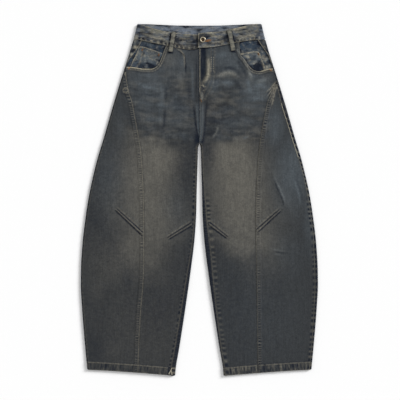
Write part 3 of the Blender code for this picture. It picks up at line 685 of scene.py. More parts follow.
@dataclass(frozen=True)
class Wash:
    """How the cloth has faded: warm on the thighs, cool over the hips, creased at the top, with painted
    highlight and shade on the creases and painted shade at the crotch.
    """

    # down, middle across, half width, share
    thigh_rows: ClassVar[dict] = {
        Side.RIGHT: (
            (300, 160, 56, 0.0), (322, 158, 62, 0.22), (343, 142, 70, 0.66), (366, 132, 78, 0.9),
            (402, 137, 80, 0.97), (431, 143, 88, 0.86), (491, 162, 100, 0.8), (550, 155, 102, 0.76),
            (580, 145, 102, 0.76), (609, 145, 98, 0.68), (668, 176, 82, 0.63), (698, 176, 80, 0.56),
            (727, 172, 72, 0.36), (757, 167, 70, 0.24), (816, 170, 60, 0.08), (880, 170, 60, 0.0),
        ),
        Side.LEFT: (
            (296, 104, 54, 0.0), (322, 102, 56, 0.14), (343, 102, 62, 0.64), (366, 101, 72, 1.0),
            (402, 104, 83, 1.08), (431, 108, 88, 1.05), (491, 117, 97, 0.98), (550, 128, 99, 0.9),
            (609, 134, 95, 0.82), (640, 140, 88, 0.84), (662, 147, 80, 0.74), (684, 158, 74, 0.48),
            (698, 172, 68, 0.32), (727, 185, 62, 0.22), (775, 190, 55, 0.08), (850, 190, 55, 0.0),
        ),
    }
    # across, down, half width, half height, share
    hip_rows: ClassVar[dict] = {
        Side.RIGHT: (
            (150, 160, 70, 110, 0.5), (60, 110, 60, 70, 0.45), (60, 250, 50, 60, 0.3),
            (235, 300, 22, 90, 0.2), (268, 450, 44, 110, 0.3), (148, 260, 26, 60, 0.3),
            (70, 545, 34, 60, 0.2),
        ),
        Side.LEFT: (
            (165, 190, 52, 60, 0.68), (95, 110, 60, 70, 0.6), (40, 100, 36, 70, 0.4),
            (225, 300, 28, 70, 0.6), (275, 440, 55, 110, 0.7), (330, 560, 24, 130, 0.45),
            (120, 290, 60, 30, 0.25), (190, 860, 160, 190, 0.16), (260, 680, 60, 90, 0.2),
            (84, 172, 24, 16, 0.6), (42, 178, 24, 26, 0.75), (165, 250, 34, 24, 0.45),
        ),
    }
    # across, down, half width, half height, share
    warm_rows: ClassVar[dict] = {
        Side.RIGHT: (
            (88, 106, 24, 24, 0.5), (52, 178, 20, 26, 0.45), (54, 282, 34, 34, 0.3),
            (160, 900, 140, 160, 0.2), (258, 700, 74, 86, 0.32), (120, 740, 46, 60, 0.2),
            (250, 960, 50, 40, 0.2), (300, 770, 30, 60, 0.22), (120, 900, 40, 70, 0.16),
        ),
        Side.LEFT: ((48, 262, 34, 30, 0.3), (105, 150, 34, 14, 0.35), (210, 700, 60, 60, 0.1)),
    }
    # dark patches of the cloth; the first row of each half is painted shade at the crotch
    # across, down, half width, half height, share
    dark_rows: ClassVar[dict] = {
        Side.RIGHT: (
            (2, 340, 15, 24, 1.2), (14, 390, 22, 60, 0.35), (35, 320, 50, 40, 0.2),
            (14, 215, 14, 50, 0.25), (40, 440, 32, 80, 0.3), (308, 960, 40, 60, 0.3),
            (212, 760, 16, 30, 0.3), (170, 900, 210, 190, 0.13), (130, 850, 100, 110, 0.3),
            (275, 660, 60, 70, 0.2), (272, 460, 44, 100, 0.22), (60, 250, 40, 30, 0.3),
            (66, 545, 34, 60, 0.2), (12, 640, 16, 60, 0.5), (300, 560, 44, 90, 0.22),
        ),
        Side.LEFT: (
            (2, 340, 15, 24, 1.2), (34, 322, 24, 18, 0.6), (26, 380, 22, 50, 0.5), (70, 262, 34, 24, 0.4),
            (50, 140, 26, 14, 0.3), (44, 655, 30, 34, 0.4), (40, 560, 30, 60, 0.15),
            (110, 800, 60, 50, 0.2), (220, 780, 34, 60, 0.14), (44, 290, 26, 46, 0.45),
            (76, 300, 34, 30, 0.3), (120, 820, 90, 190, 0.17), (40, 178, 20, 22, 0.25),
        ),
    }
    creases: ClassVar[dict] = {
        Side.RIGHT: (
            Crease(((72, 70), (55, 80), (46, 92), (44, 110), (44, 128)), 1.9, 0.6, worn=0.3),
            Crease(((70, 76), (53, 86), (43, 97), (40.5, 116), (40, 150)), 2.2, -0.5, deep=1.2),
            Crease(((98, 182), (99, 208), (101, 236)), 5.5, -0.6, deep=0.5),
            Crease(((102, 246), (103, 272), (105, 303), (112, 316)), 4.6, -0.6, deep=0.6),
            Crease(((110, 170), (111, 218), (114, 246), (116, 300)), 7.0, 0.5, pale=0.35),
            Crease(((22, 120), (20, 180), (18, 240)), 4.0, 0.3, pale=0.5),
            Crease(((32, 140), (30, 200), (27, 270), (25, 300)), 7.0, -0.4, deep=0.4),
            Crease(((9, 90), (9, 150), (9, 218)), 2.6, -0.3, deep=0.55),
            Crease(((112, 196), (140, 190), (176, 178), (196, 170)), 5.0, 0.4, pale=0.45),
            Crease(((106, 216), (140, 212), (180, 204)), 4.0, -0.3, deep=0.35),
            Crease(((60, 214), (84, 220), (96, 222)), 4.0, 0.3, pale=0.35),
            Crease(((110, 240), (150, 238), (172, 232)), 4.0, 0.3, pale=0.3),
            Crease(((118, 330), (124, 350), (128, 372)), 4.0, -0.2, deep=0.25),
            Crease(((225, 196), (223, 201), (218, 203), (213, 201), (211, 196), (213, 191), (218, 189),
                    (223, 191), (225, 196)), 1.8, 0.4, worn=0.35, taper=0.05),
            Crease(((230, 190), (229, 202), (222, 209), (212, 208)), 2.4, -0.3, deep=0.5),
        ),
        Side.LEFT: (
            Crease(((104, 70), (118, 86), (132, 108), (146, 138), (156, 172)), 4.0, 0.9, pale=0.6, worn=0.2),
            Crease(((108, 100), (122, 124), (135, 148), (142, 172)), 5.0, -0.5, deep=0.5),
            Crease(((50, 158), (66, 150), (84, 145), (98, 147), (112, 158)), 5.5, 0.8, fade=0.6, worn=0.16),
            Crease(((62, 134), (86, 130), (112, 140), (126, 156)), 6.0, -0.6, deep=0.55),
            Crease(((96, 168), (110, 176), (120, 190), (122, 206)), 6.0, -0.4, deep=0.35),
            Crease(((46, 100), (62, 92), (84, 90)), 8.0, 0.3, pale=0.4),
            Crease(((60, 176), (84, 172), (100, 182)), 6.0, 0.4, pale=0.35, fade=0.2),
            Crease(((164, 176), (184, 168), (204, 164)), 6.0, 0.5, pale=0.5, worn=0.08),
            Crease(((138, 164), (146, 184), (150, 206)), 5.0, 0.4, pale=0.5),
            Crease(((62, 238), (84, 242), (104, 252)), 5.0, -0.3, deep=0.35),
            Crease(((40, 276), (70, 274), (100, 270)), 4.0, 0.3, fade=0.35),
            Crease(((50, 290), (76, 294), (96, 290)), 4.0, -0.3, deep=0.35),
            Crease(((52, 172), (60, 158), (70, 150)), 4.0, 0.3, pale=0.3),
            Crease(((36, 338), (48, 324), (56, 300)), 2.6, 0.5, pale=0.7, worn=0.15),
            Crease(((30, 330), (40, 318), (46, 300)), 5.0, -0.4, deep=0.4),
            Crease(((150, 228), (170, 222), (196, 226)), 5.0, 0.5, pale=0.4),
            Crease(((150, 190), (176, 182), (200, 170)), 5.0, 0.4, pale=0.3),
            Crease(((128, 338), (144, 334)), 2.6, 0.4, pale=0.6),
            *(Crease(((228 + row, 168 + row), (214 + 2 * row, 186 + 5 * row),
                       (196 + 4 * row, 204 + 11 * row)), 1.9, 0.45, worn=0.34) for row in range(5)),
            *(Crease(((226 + row, 174 + row), (213 + 2 * row, 194 + 5 * row),
                       (196 + 4 * row, 212 + 11 * row)), 1.7, -0.4, deep=0.62) for row in range(5)),
            Crease(((222, 452), (232, 474), (246, 506), (256, 540)), 1.7, 0.5, pale=0.45, worn=0.05),
            Crease(((218, 456), (228, 480), (242, 512), (252, 542)), 2.2, -0.5, deep=0.55),
            Crease(((276, 452), (284, 474), (294, 506), (300, 540)), 3.0, 0.4, pale=0.4),
            Crease(((284, 452), (292, 474), (302, 506), (308, 540)), 3.0, -0.3, deep=0.35),
            Crease(((208, 662), (232, 669), (258, 671)), 2.0, 0.5, pale=0.4, worn=0.06, taper=0.45),
            Crease(((216, 677), (238, 683), (254, 684)), 2.0, 0.4, pale=0.3, worn=0.04, taper=0.45),
            Crease(((210, 668), (238, 676), (262, 677)), 2.2, -0.5, deep=0.6, taper=0.45),
            Crease(((190, 440), (184, 470), (178, 520)), 2.6, -0.3, deep=0.25),
        ),
    }

    def dye(self, marks: Marks, side: Side) -> None:
        """Fades the cloth, and paints the creases' highlights and shade and the shade at the crotch.

        Args:
            marks: The piece's marks, which are changed.
            side: The half of the garment.
        """
        across, down = marks.across, marks.down
        lean = 0.27 * (across - 150) if side is Side.RIGHT else 0.1 * (across - 110)
        uneven = down + lean * smooth_step((460 - down) / 80) + 0.0011 * (across - 130) ** 2 * (down < 450)
        uneven = uneven + 12 * marks.noise(34, 2, 1.0, 0.3) + 6 * marks.noise(12, 4)
        middle, width, share = (ease(self.thigh_rows[side], column, uneven) for column in (1, 2, 3))
        marks.fade = share * bell(np.abs(across + 10 * marks.noise(55, 3) - middle), width, 2.4)
        for table, name in ((self.hip_rows, "pale"), (self.warm_rows, "fade"), (self.dark_rows, "deep")):
            for *place, amount in table[side]:
                setattr(marks, name, np.maximum(getattr(marks, name), amount * marks.spot(*place)))
        # the creases' painted highlights and painted shade
        for crease in self.creases[side]:
            crease.press(marks)
        hips = smooth_step((down - 90) / 90) * smooth_step((376 - down) / 50)
        marks.whisker = hips * smooth_step((235 - across) / 50) * smooth_step((across - 8) / 12)


PATTERN = Pattern()
WASH = Wash()


class Nodes:
    """Builds one material's nodes."""

    def __init__(self, name: str) -> None:
        """Starts a material with a Principled shader.

        Args:
            name: The material's name.
        """
        self.material = bpy.data.materials.new(name)
        self.material.use_nodes = True
        self.tree = self.material.node_tree
        self.shader = self.tree.nodes["Principled BSDF"]

    def link(self, value: object, socket: Socket) -> None:
        """Sets a socket.

        Args:
            value: Another node's output, or a plain value.
            socket: The socket that takes it.
        """
        if isinstance(value, Socket):
            self.tree.links.new(value, socket)
        elif isinstance(value, tuple):
            socket.default_value = (*value, 1.0) if len(socket.default_value) == 4 else value
        else:
            socket.default_value = value

    def finish(self, inputs: dict) -> None:
        """Sets the shader's own inputs, each to a value or from a socket."""
        for name, value in inputs.items():
            self.link(value, self.shader.inputs[name])

    def add(self, kind: str, inputs: dict, output: str | int = 0, **settings: object) -> Socket:
        """Adds a node.

        Args:
            kind: The node's type.
            inputs: A value or a socket for each of its inputs that is used.
            output: The output that is wanted.
            settings: The node's own settings.

        Returns:
            The output's socket.
        """
        node = self.tree.nodes.new(f"ShaderNode{kind}")
        for name, value in settings.items():
            setattr(node, name, value)
        for name, value in inputs.items():
            self.link(value, node.inputs[name])
        return node.outputs[output]

    def attribute(self, name: str) -> Socket:
        """Reads a mark that the mesh carries."""
        return self.add("Attribute", {}, "Fac", attribute_name=name)

    def place(self, stretch: tuple, turn: float) -> Socket:
        """Adds object coordinates.

        Args:
            stretch: Scale on each axis.
            turn: The turn about the upright in degrees.

        Returns:
            The coordinates.
        """
        coordinates = self.add("TexCoord", {}, "Object")
        rotation = (0, 0, math.radians(turn))
        return self.add("Mapping", {"Vector": coordinates, "Scale": stretch, "Rotation": rotation})

    def noise(self, stretch: tuple, detail: float, turn: float = 0.0) -> Socket:
        """Noise whose features are 1 / stretch metres wide.

        Args:
            stretch: Scale on each axis.
            detail: How many finer layers it has.
            turn: The turn of its axes in degrees.

        Returns:
            The noise's value.
        """
        inputs = {"Scale": 1.0, "Detail": detail, "Roughness": 0.6, "Vector": self.place(stretch, turn)}
        return self.add("TexNoise", inputs, "Fac")

    def weave(self, period: float, turn: float) -> Socket:
        """The diagonal ribs of a twill, a period in metres apart and turned by degrees."""
        inputs = {"Scale": 2 * math.pi / (20 * period), "Distortion": 0.8, "Detail": 1.0, "Detail Scale": 4.0}
        return self.add("TexWave", {**inputs, "Vector": self.place((1, 1, 1), turn)}, "Fac")

    def times(self, first: object, second: object, clamp: bool = False) -> Socket:
        """The product of two values or sockets, kept between 0 and 1 if asked."""
        return self.add("Math", {0: first, 1: second}, operation="MULTIPLY", use_clamp=clamp)

    def plus(self, first: object, second: object, clamp: bool = False) -> Socket:
        """The sum of two values or sockets, kept between 0 and 1 if asked."""
        return self.add("Math", {0: first, 1: second}, operation="ADD", use_clamp=clamp)

    def spread(self, value: Socket, low: float, high: float) -> Socket:
        """Maps a noise's usual range of 0.3 to 0.7 to a range of its own."""
        inputs = {"From Min": 0.3, "From Max": 0.7, "To Min": low, "To Max": high, "Value": value}
        return self.add("MapRange", inputs, "Result")

    def around(self, value: Socket, reach: float) -> Socket:
        """Maps a noise to a factor near 1, up to a reach above and below it."""
        return self.spread(value, 1 - reach, 1 + reach)

    def mix(self, share: object, first: object, second: object, kind: str = "MIX") -> Socket:
        """Mixes two colours.

        Args:
            share: How much of the second.
            first: A colour or a socket.
            second: A colour or a socket.
            kind: The blend type.

        Returns:
            The mixed colour.
        """
        return self.add("Mix", {0: share, 6: first, 7: second}, 2, data_type="RGBA", blend_type=kind)

    def bump(self, height: Socket, distance: float) -> None:
        """Raises the surface by a height of 0 to 1, up to a distance in metres."""
        inputs = {"Strength": 1.0, "Distance": distance, "Height": height}
        self.finish({"Normal": self.add("Bump", inputs, "Normal")})


@dataclass(frozen=True)
class Denim:
    """Washed denim: its dyed colours, how streaky it is and how it wears."""

    name: str
    body: Colour = tone(49, 51, 53)
    warm: Colour = tone(95, 93, 87)
    cool: Colour = tone(80, 87, 92)
    # dark is the darkest dye and also paints shade; worn is rubbed cloth and also paints highlights
    dark: Colour = tone(17, 24, 36)
    worn: Colour = tone(162, 155, 136)
    streak: float = 0.12
    mottle: float = 0.05
    grain: float = 0.15
    blotch: float = 0.16
    scuff: float = 0.0
    blotches: tuple = (90, 130)
    scuffs: tuple = (110, 170)
    streak_width: float = 0.0034
    streak_length: float = 0.04
    twill: float = 0.0011
    twill_turn: float = 27.0
    roughness: float = 0.88
    along_band: bool = False
    # how far small patches, hips, rubbed grain and crossing lines range
    patch: float = 0.13
    hip_range: tuple = (-0.3, 0.42)
    rub_range: tuple = (0.55, 1.35)
    crossing_range: tuple = (-0.2, 0.26)
    twill_shade: float = 0.24
    shine: float = 0.12
    sheen: float = 0.03
    sheen_roughness: float = 0.6
    relief: float = 0.00035

    def material(self) -> bpy.types.Material:
        """Makes the cloth's material, which reads the marks of the mesh it is on.

        Returns:
            The material.
        """
        nodes = Nodes(self.name)
        narrow, long = 1 / self.streak_width, 1 / self.streak_length
        streak = nodes.noise((long, narrow, narrow) if self.along_band else (narrow, long, narrow), 3.0)
        mottle = nodes.noise((70, 55, 70), 4.0)
        grain = nodes.noise((260, 210, 260), 2.0)
        whisker = nodes.noise((24, 66, 24), 2.0, 14.0)
        tint = nodes.noise((26, 52, 26), 1.5, -12.0)
        blotch = nodes.noise((*self.blotches, 60), 2.0, 12.0)
        scuff = nodes.noise((*self.scuffs, 60), 2.5, -14.0)
        twill = nodes.weave(self.twill, self.twill_turn)
        patch = nodes.around(mottle, self.patch)
        hip = nodes.times(nodes.attribute("whisker"), nodes.spread(tint, *self.hip_range))
        fade = nodes.plus(nodes.times(nodes.attribute("fade"), patch), hip, True)
        pale = nodes.times(nodes.attribute("pale"), patch, True)
        deep = nodes.plus(nodes.attribute("deep"), nodes.spread(blotch, -self.blotch, self.blotch), True)
        deep = nodes.times(deep, patch, True)
        open_cloth = nodes.add("Math", {0: 1.0, 1: deep}, operation="SUBTRACT")
        rubbed = nodes.times(nodes.spread(scuff, -self.scuff, self.scuff), open_cloth)
        worn = nodes.plus(nodes.attribute("worn"), rubbed, True)
        worn = nodes.times(worn, nodes.spread(grain, *self.rub_range), True)
        colour = self.body
        for share, dye in ((fade, self.warm), (pale, self.cool), (deep, self.dark), (worn, self.worn)):
            colour = nodes.mix(share, colour, dye)
        light = nodes.times(nodes.around(streak, self.streak), nodes.around(mottle, self.mottle))
        light = nodes.times(light, nodes.around(grain, self.grain))
        crossing = nodes.times(nodes.attribute("whisker"), nodes.spread(whisker, *self.crossing_range))
        light = nodes.times(light, nodes.plus(crossing, 1.0))
        ribs = nodes.times(twill, self.twill_shade)
        light = nodes.times(light, nodes.plus(ribs, 1 - self.twill_shade / 2))
        shade = nodes.add("CombineColor", {0: light, 1: light, 2: light})
        nodes.finish({
            "Base Color": nodes.mix(1.0, colour, shade, "MULTIPLY"),
            "Roughness": nodes.spread(mottle, self.roughness - 0.06, self.roughness + 0.08),
            "Specular IOR Level": self.shine,
            "Sheen Weight": self.sheen,
            "Sheen Roughness": self.sheen_roughness,
        })
        height = nodes.plus(nodes.times(twill, 0.35), nodes.times(grain, 0.5))
        nodes.bump(nodes.plus(height, nodes.times(streak, 0.4)), self.relief)
        return nodes.material


@dataclass(frozen=True)
class Cotton:
    """Sewing thread."""

    name: str
    colour: Colour
    dirt: Colour
    most_dirt: float = 0.9
    roughness: float = 0.75
    shine: float = 0.25
    twist: float = 0.0005
    twist_turn: float = 35.0
    relief: float = 0.0001

    def material(self) -> bpy.types.Material:
        """Makes the thread's material, with its twist and its dirt.

        Returns:
            The material.
        """
        nodes = Nodes(self.name)
        dirt = nodes.spread(nodes.noise((110, 110, 110), 3.0), 0.0, self.most_dirt)
        colour = nodes.mix(dirt, self.colour, self.dirt)
        nodes.finish({"Base Color": colour, "Roughness": self.roughness, "Specular IOR Level": self.shine})
        nodes.bump(nodes.weave(self.twist, self.twist_turn), self.relief)
        return nodes.material


@dataclass(frozen=True)
class Brass:
    """Antique brass, dark in its hollows and rubbed bright on its rim."""

    name: str
    bright: Colour = tone(196, 186, 164)
    dull: Colour = tone(62, 48, 38)
    rub_range: tuple = (0.7, 1.15)
    roughness_range: tuple = (0.28, 0.5)
    relief: float = 0.00006

    def material(self) -> bpy.types.Material:
        """Makes the metal's material, which reads the worn mark of the mesh it is on.

        Returns:
            The material.
        """
        nodes = Nodes(self.name)
        spots = nodes.noise((900, 900, 900), 4.0)
        share = nodes.times(nodes.attribute("worn"), nodes.spread(spots, *self.rub_range), True)
        colour = nodes.mix(share, self.dull, self.bright)
        roughness = nodes.spread(spots, *self.roughness_range)
        nodes.finish({"Base Color": colour, "Roughness": roughness, "Metallic": 1.0})
        nodes.bump(spots, self.relief)
        return nodes.material


def to_world(side: Side, placed: Points) -> Points:
    """Turns across, down and height on one half of the garment into X, Y and Z in metres."""
    x, y, z = placed[:, 0] * side.value, LENGTH / 2 - placed[:, 1], placed[:, 2]
    return np.column_stack((x, y, z)) * MM


def close_shell(faces: list, count: int) -> list:
    """Joins an upper and a lower layer of the same faces along their rim.

    Args:
        faces: The upper layer's faces.
        count: How many points each layer has.

    Returns:
        All faces of the closed shell.
    """
    sides = {side for face in faces for side in zip(face, face[1:] + face[:1])}
    rim = sorted(side for side in sides if side[::-1] not in sides)
    shell = [tuple(face) for face in faces]
    shell += [tuple(corner + count for corner in reversed(face)) for face in faces]
    return shell + [(start, end, end + count, start + count) for start, end in rim]


def make_piece(name: str, vertices: Points, faces: list, material: bpy.types.Material,
               marks: Marks | None = None) -> bpy.types.Object:
    """Makes an object of a closed mesh, stores its marks and declares what it rides on.

    Args:
        name: The piece's name.
        vertices: Its points in metres.
        faces: Its faces, as lists of point numbers.
        material: Its material.
        marks: The marks of each layer of its points.

    Returns:
        The object.
    """
    mesh = bpy.data.meshes.new(name)
    mesh.from_pydata(np.asarray(vertices).tolist(), [], faces)
    shape = bmesh.new()
    shape.from_mesh(mesh)
    bmesh.ops.recalc_face_normals(shape, faces=shape.faces)
    shape.to_mesh(mesh)
    shape.free()
    mesh.shade_smooth()
    mesh.set_sharp_from_angle(angle=SHARP_ANGLE)
    mesh.materials.append(material)
    piece = bpy.data.objects.new(name, mesh)
    bpy.context.collection.objects.link(piece)
    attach(piece, BODY)
    for mark in MARK_NAMES if marks else ():
        values = np.tile(limit(getattr(marks, mark)), len(vertices) // len(marks.placed))
        layer = mesh.attributes.new(mark, "FLOAT", "POINT")
        layer.data.foreach_set("value", values.astype(np.float32))
    LOG.info("%s: %d faces", name, len(faces))
    return piece


@dataclass
class ClothPiece:
    """One cut piece of cloth. Its outline lies flat in the pattern, and base() puts it on the garment."""

    side: Side
    material: bpy.types.Material
    pitch: float = 4.2
    edge_step: float = 2.0
    node: str = ""
    slot: str = "front_denim"
    rests_on: tuple = ()
    # spacing of the grid's rows, its clear room beside a line and the room of a line at the outline
    ROW_SHARE: ClassVar[float] = 0.87
    CLEAR_SHARE: ClassVar[float] = 0.45
    LINE_ROOM: ClassVar[float] = 0.7
    # the least share of its flat box that a sheet's area may be
    LEAST_AREA: ClassVar[float] = 0.301

    def outline(self) -> Points:
        """The corners of the cut, in order."""
        raise NotImplementedError

    def guide_lines(self) -> list:
        """Lines that the mesh's edges follow."""
        return []

    def base(self, points: Points, is_inner: bool) -> Points:
        """Across, down and height of pattern points, before the outer face's own relief."""
        raise NotImplementedError

    def use(self, marks: Marks) -> None:
        """Puts on what sewing and wear left at places on the garment."""

    def marks(self, placed: Points) -> Marks:
        """Finds what sewing and wear left on the piece.

        Args:
            placed: Places on it: across, down and height.

        Returns:
            The marks there.
        """
        marks = Marks(placed)
        self.use(marks)
        return marks

    def band(self, column: int, across: Values) -> Values:
        """The front waistband's top edge on this half for column 1, and its bottom edge for column 2."""
        return PATTERN.band_edge(self.side, column, across)

    def seam(self, edge: str, start: float, step: float | None = None) -> Points:
        """One of this half's long seams, from a place down to the hem."""
        return PATTERN.seam_line(self.side, edge, start, step or self.edge_step)

    def lay(self, points: Points) -> Points:
        """Across, down and height of pattern points on the piece's outer face."""
        placed = self.base(points, False)
        return raised(placed[:, :2], placed[:, 2] + self.marks(placed).lift)

    def triangulate(self) -> tuple[Points, list]:
        """Fills the outline with triangles that follow the guide lines.

        Returns:
            The pattern points and the triangles.
        """
        outline = self.outline()
        closed = np.vstack((outline, outline[:1]))
        points, count = [outline], len(outline)
        edges = [(i, (i + 1) % count) for i in range(count)]
        lines = [closed]
        for line in self.guide_lines():
            keep = inside(line, outline) & (locate(line, closed)[0] > self.LINE_ROOM)
            where = np.flatnonzero(keep)
            edges += [(count + i, count + i + 1) for i in np.flatnonzero(np.diff(where) == 1).tolist()]
            points.append(line[keep])
            count += len(where)
            if len(where) > 1:
                lines.append(line[keep])
        low, high = outline.min(axis=0), outline.max(axis=0)
        rows = np.arange(low[1], high[1], self.pitch * self.ROW_SHARE)
        grid_x, grid_y = np.meshgrid(np.arange(low[0], high[0], self.pitch), rows)
        grid_x[1::2] += self.pitch / 2
        grid = pairs(grid_x.ravel(), grid_y.ravel())
        grid = grid[inside(grid, outline)]
        clear = self.pitch * self.CLEAR_SHARE
        for line in lines:
            grid = grid[locate(grid, line[::2] if len(line) > 400 else line, 8)[0] > clear]
        points.append(grid)
        flat = [Vector(point) for point in np.concatenate(points)]
        found, _, faces, _, _, _ = delaunay_2d_cdt(flat, edges, [], 1, 1e-4)
        found = np.array([tuple(point) for point in found])
        used = sorted({corner for face in faces for corner in face})
        order = {corner: i for i, corner in enumerate(used)}
        return found[used], [[order[corner] for corner in face] for face in faces]

    def build(self) -> None:
        found, faces = self.triangulate()
        placed = self.base(found, False)
        marks = self.marks(placed)
        outer = raised(placed[:, :2], placed[:, 2] + marks.lift)
        vertices = to_world(self.side, np.concatenate((outer, self.base(found, True))))
        shell = close_shell(faces, len(found))
        piece = make_piece(f"{self.node}_cloth", vertices, shell, self.material, marks)
        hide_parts(self.node)
        outline = self.outline() * MM
        width, length = (outline.max(axis=0) - outline.min(axis=0)).tolist()
        x, y = outline.T
        area = abs(np.sum(x * np.roll(y, -1) - y * np.roll(x, -1))) / 2
        area = float(np.clip(area, self.LEAST_AREA * width * length, width * length))


@dataclass
class FrontPanel(ClothPiece):
    """A front panel, which lies on the back panel."""

    panel: Panel = Panel.INNER

    def base(self, points: Points, is_inner: bool) -> Points:
        """Lays the panel on the back, raised on its soft folds."""
        height = PATTERN.leg_depth + PATTERN.swell(self.side, *points.T)
        return raised(points, height - PATTERN.denim if is_inner else height)

    def guide_lines(self) -> list:
        """Draws lines beside the dart and the hem, and along the narrow creases.

        Returns:
            The lines.
        """
        creases = [round_line(crease.points, 2.2) for crease in WASH.creases[self.side] if crease.width < 2.7]
        darts = PATTERN.dart_guides(self.side, self.panel, self.edge_step)
        return darts + PATTERN.hem_guides(self.edge_step) + creases

    def sew_dart(self, marks: Marks) -> None:
        """Raises the knee dart, with its worn crest and the shade beside it.

        Args:
            marks: The panel's marks, which are changed.
        """
        share, sideways, half = PATTERN.dart_place(self.side, self.panel, marks.across, marks.down)
        along = limit(share)
        ends = smooth_step((share + 0.02) / 0.04) * smooth_step((1.02 - share) / 0.08)
        ridge = PATTERN.dart_rise * (1 - 0.6 * along) * limit(1 - np.abs(sideways) / half) * ends
        marks.lift = np.maximum(marks.lift, ridge)
        wave = ripple(share * 90, 7.5, 3.3)
        feet = PATTERN.dart_foot * (1 - 0.35 * along)
        marks.wear(0.3 * ends * bell(sideways, 1.4) * (0.8 + 0.2 * wave))
        below, above = bell(sideways - feet, 2.2), bell(sideways + feet, 2.0)
        marks.darken(ends * (1.6 * below + 1.25 * above) * (0.85 + 0.15 * wave))
        marks.wear(0.16 * ends * bell(sideways + feet + 4.2, 1.6))
        marks.lift -= 0.35 * ends * (below + above)
        # ripples beside the dart: painted highlight on their crests and painted shade in their troughs
        ripples = bell(sideways + 12, 7) * ends * ripple(share * 90, 9, 1.1)
        marks.pale += 0.3 * limit(ripples)
        marks.darken(0.25 * limit(-ripples))
        marks.lift += 0.3 * ripples

    def sew_hem(self, marks: Marks) -> None:
        """Thickens the turned hem, with its twisted puckers, darker in their troughs as unworn dye and
        painted shade.

        Args:
            marks: The panel's marks, which are changed.
        """
        across, above = marks.across, PATTERN.hem_line(marks.across) - marks.down
        within = strip(above, PATTERN.hem_height)
        marks.lift = np.maximum(marks.lift, PATTERN.hem_rise * within)
        wave = cloth_noise(across + 0.12 * above, above * 0.15, 2.3, 17)
        wave = wave + 0.2 * cloth_noise(across, above, 14, 18)
        is_left = self.side is Side.LEFT
        marks.wear(within * limit(wave) * (0.27 if is_left else 0.1) + 0.14 * bell(above, 2.0))
        marks.wear(0.3 * bell(above - PATTERN.hem_height + 1.4, 1.1))
        # pucker troughs darker: partly unworn dye, partly painted shade
        marks.darken(within * (0.12 + 0.75 * limit(-wave)))
        slits = bell(across - 193, 1.8) + bell(across - 173, 1.4)
        shaded = within * (slits if is_left else smooth_step((96 - across) / 5))
        marks.worn *= limit(1 - shaded)
        marks.darken((1.2 if is_left else 1.3) * shaded)
        marks.darken(0.5 * bell(above - PATTERN.hem_height - 1.8, 1.5))
        marks.lift += 0.3 * wave * within

    def use(self, marks: Marks) -> None:
        """Fades the laid cloth and makes it uneven, with the hem and the dart, and paints highlights on its
        raised folds.

        Args:
            marks: The panel's marks, which are changed.
        """
        WASH.dye(marks, self.side)
        self.sew_hem(marks)
        self.sew_dart(marks)
        marks.lift += 0.35 + 0.32 * marks.noise(46, 11) + 0.14 * marks.noise(17, 12)
        marks.lift += 0.07 * marks.noise(6, 13, 1.5, 0.6)
        # painted highlight on the raised soft folds of the upper front
        swell = PATTERN.swell(self.side, marks.across, marks.down)
        marks.pale = limit(marks.pale + 0.22 * swell * (marks.down < 360))


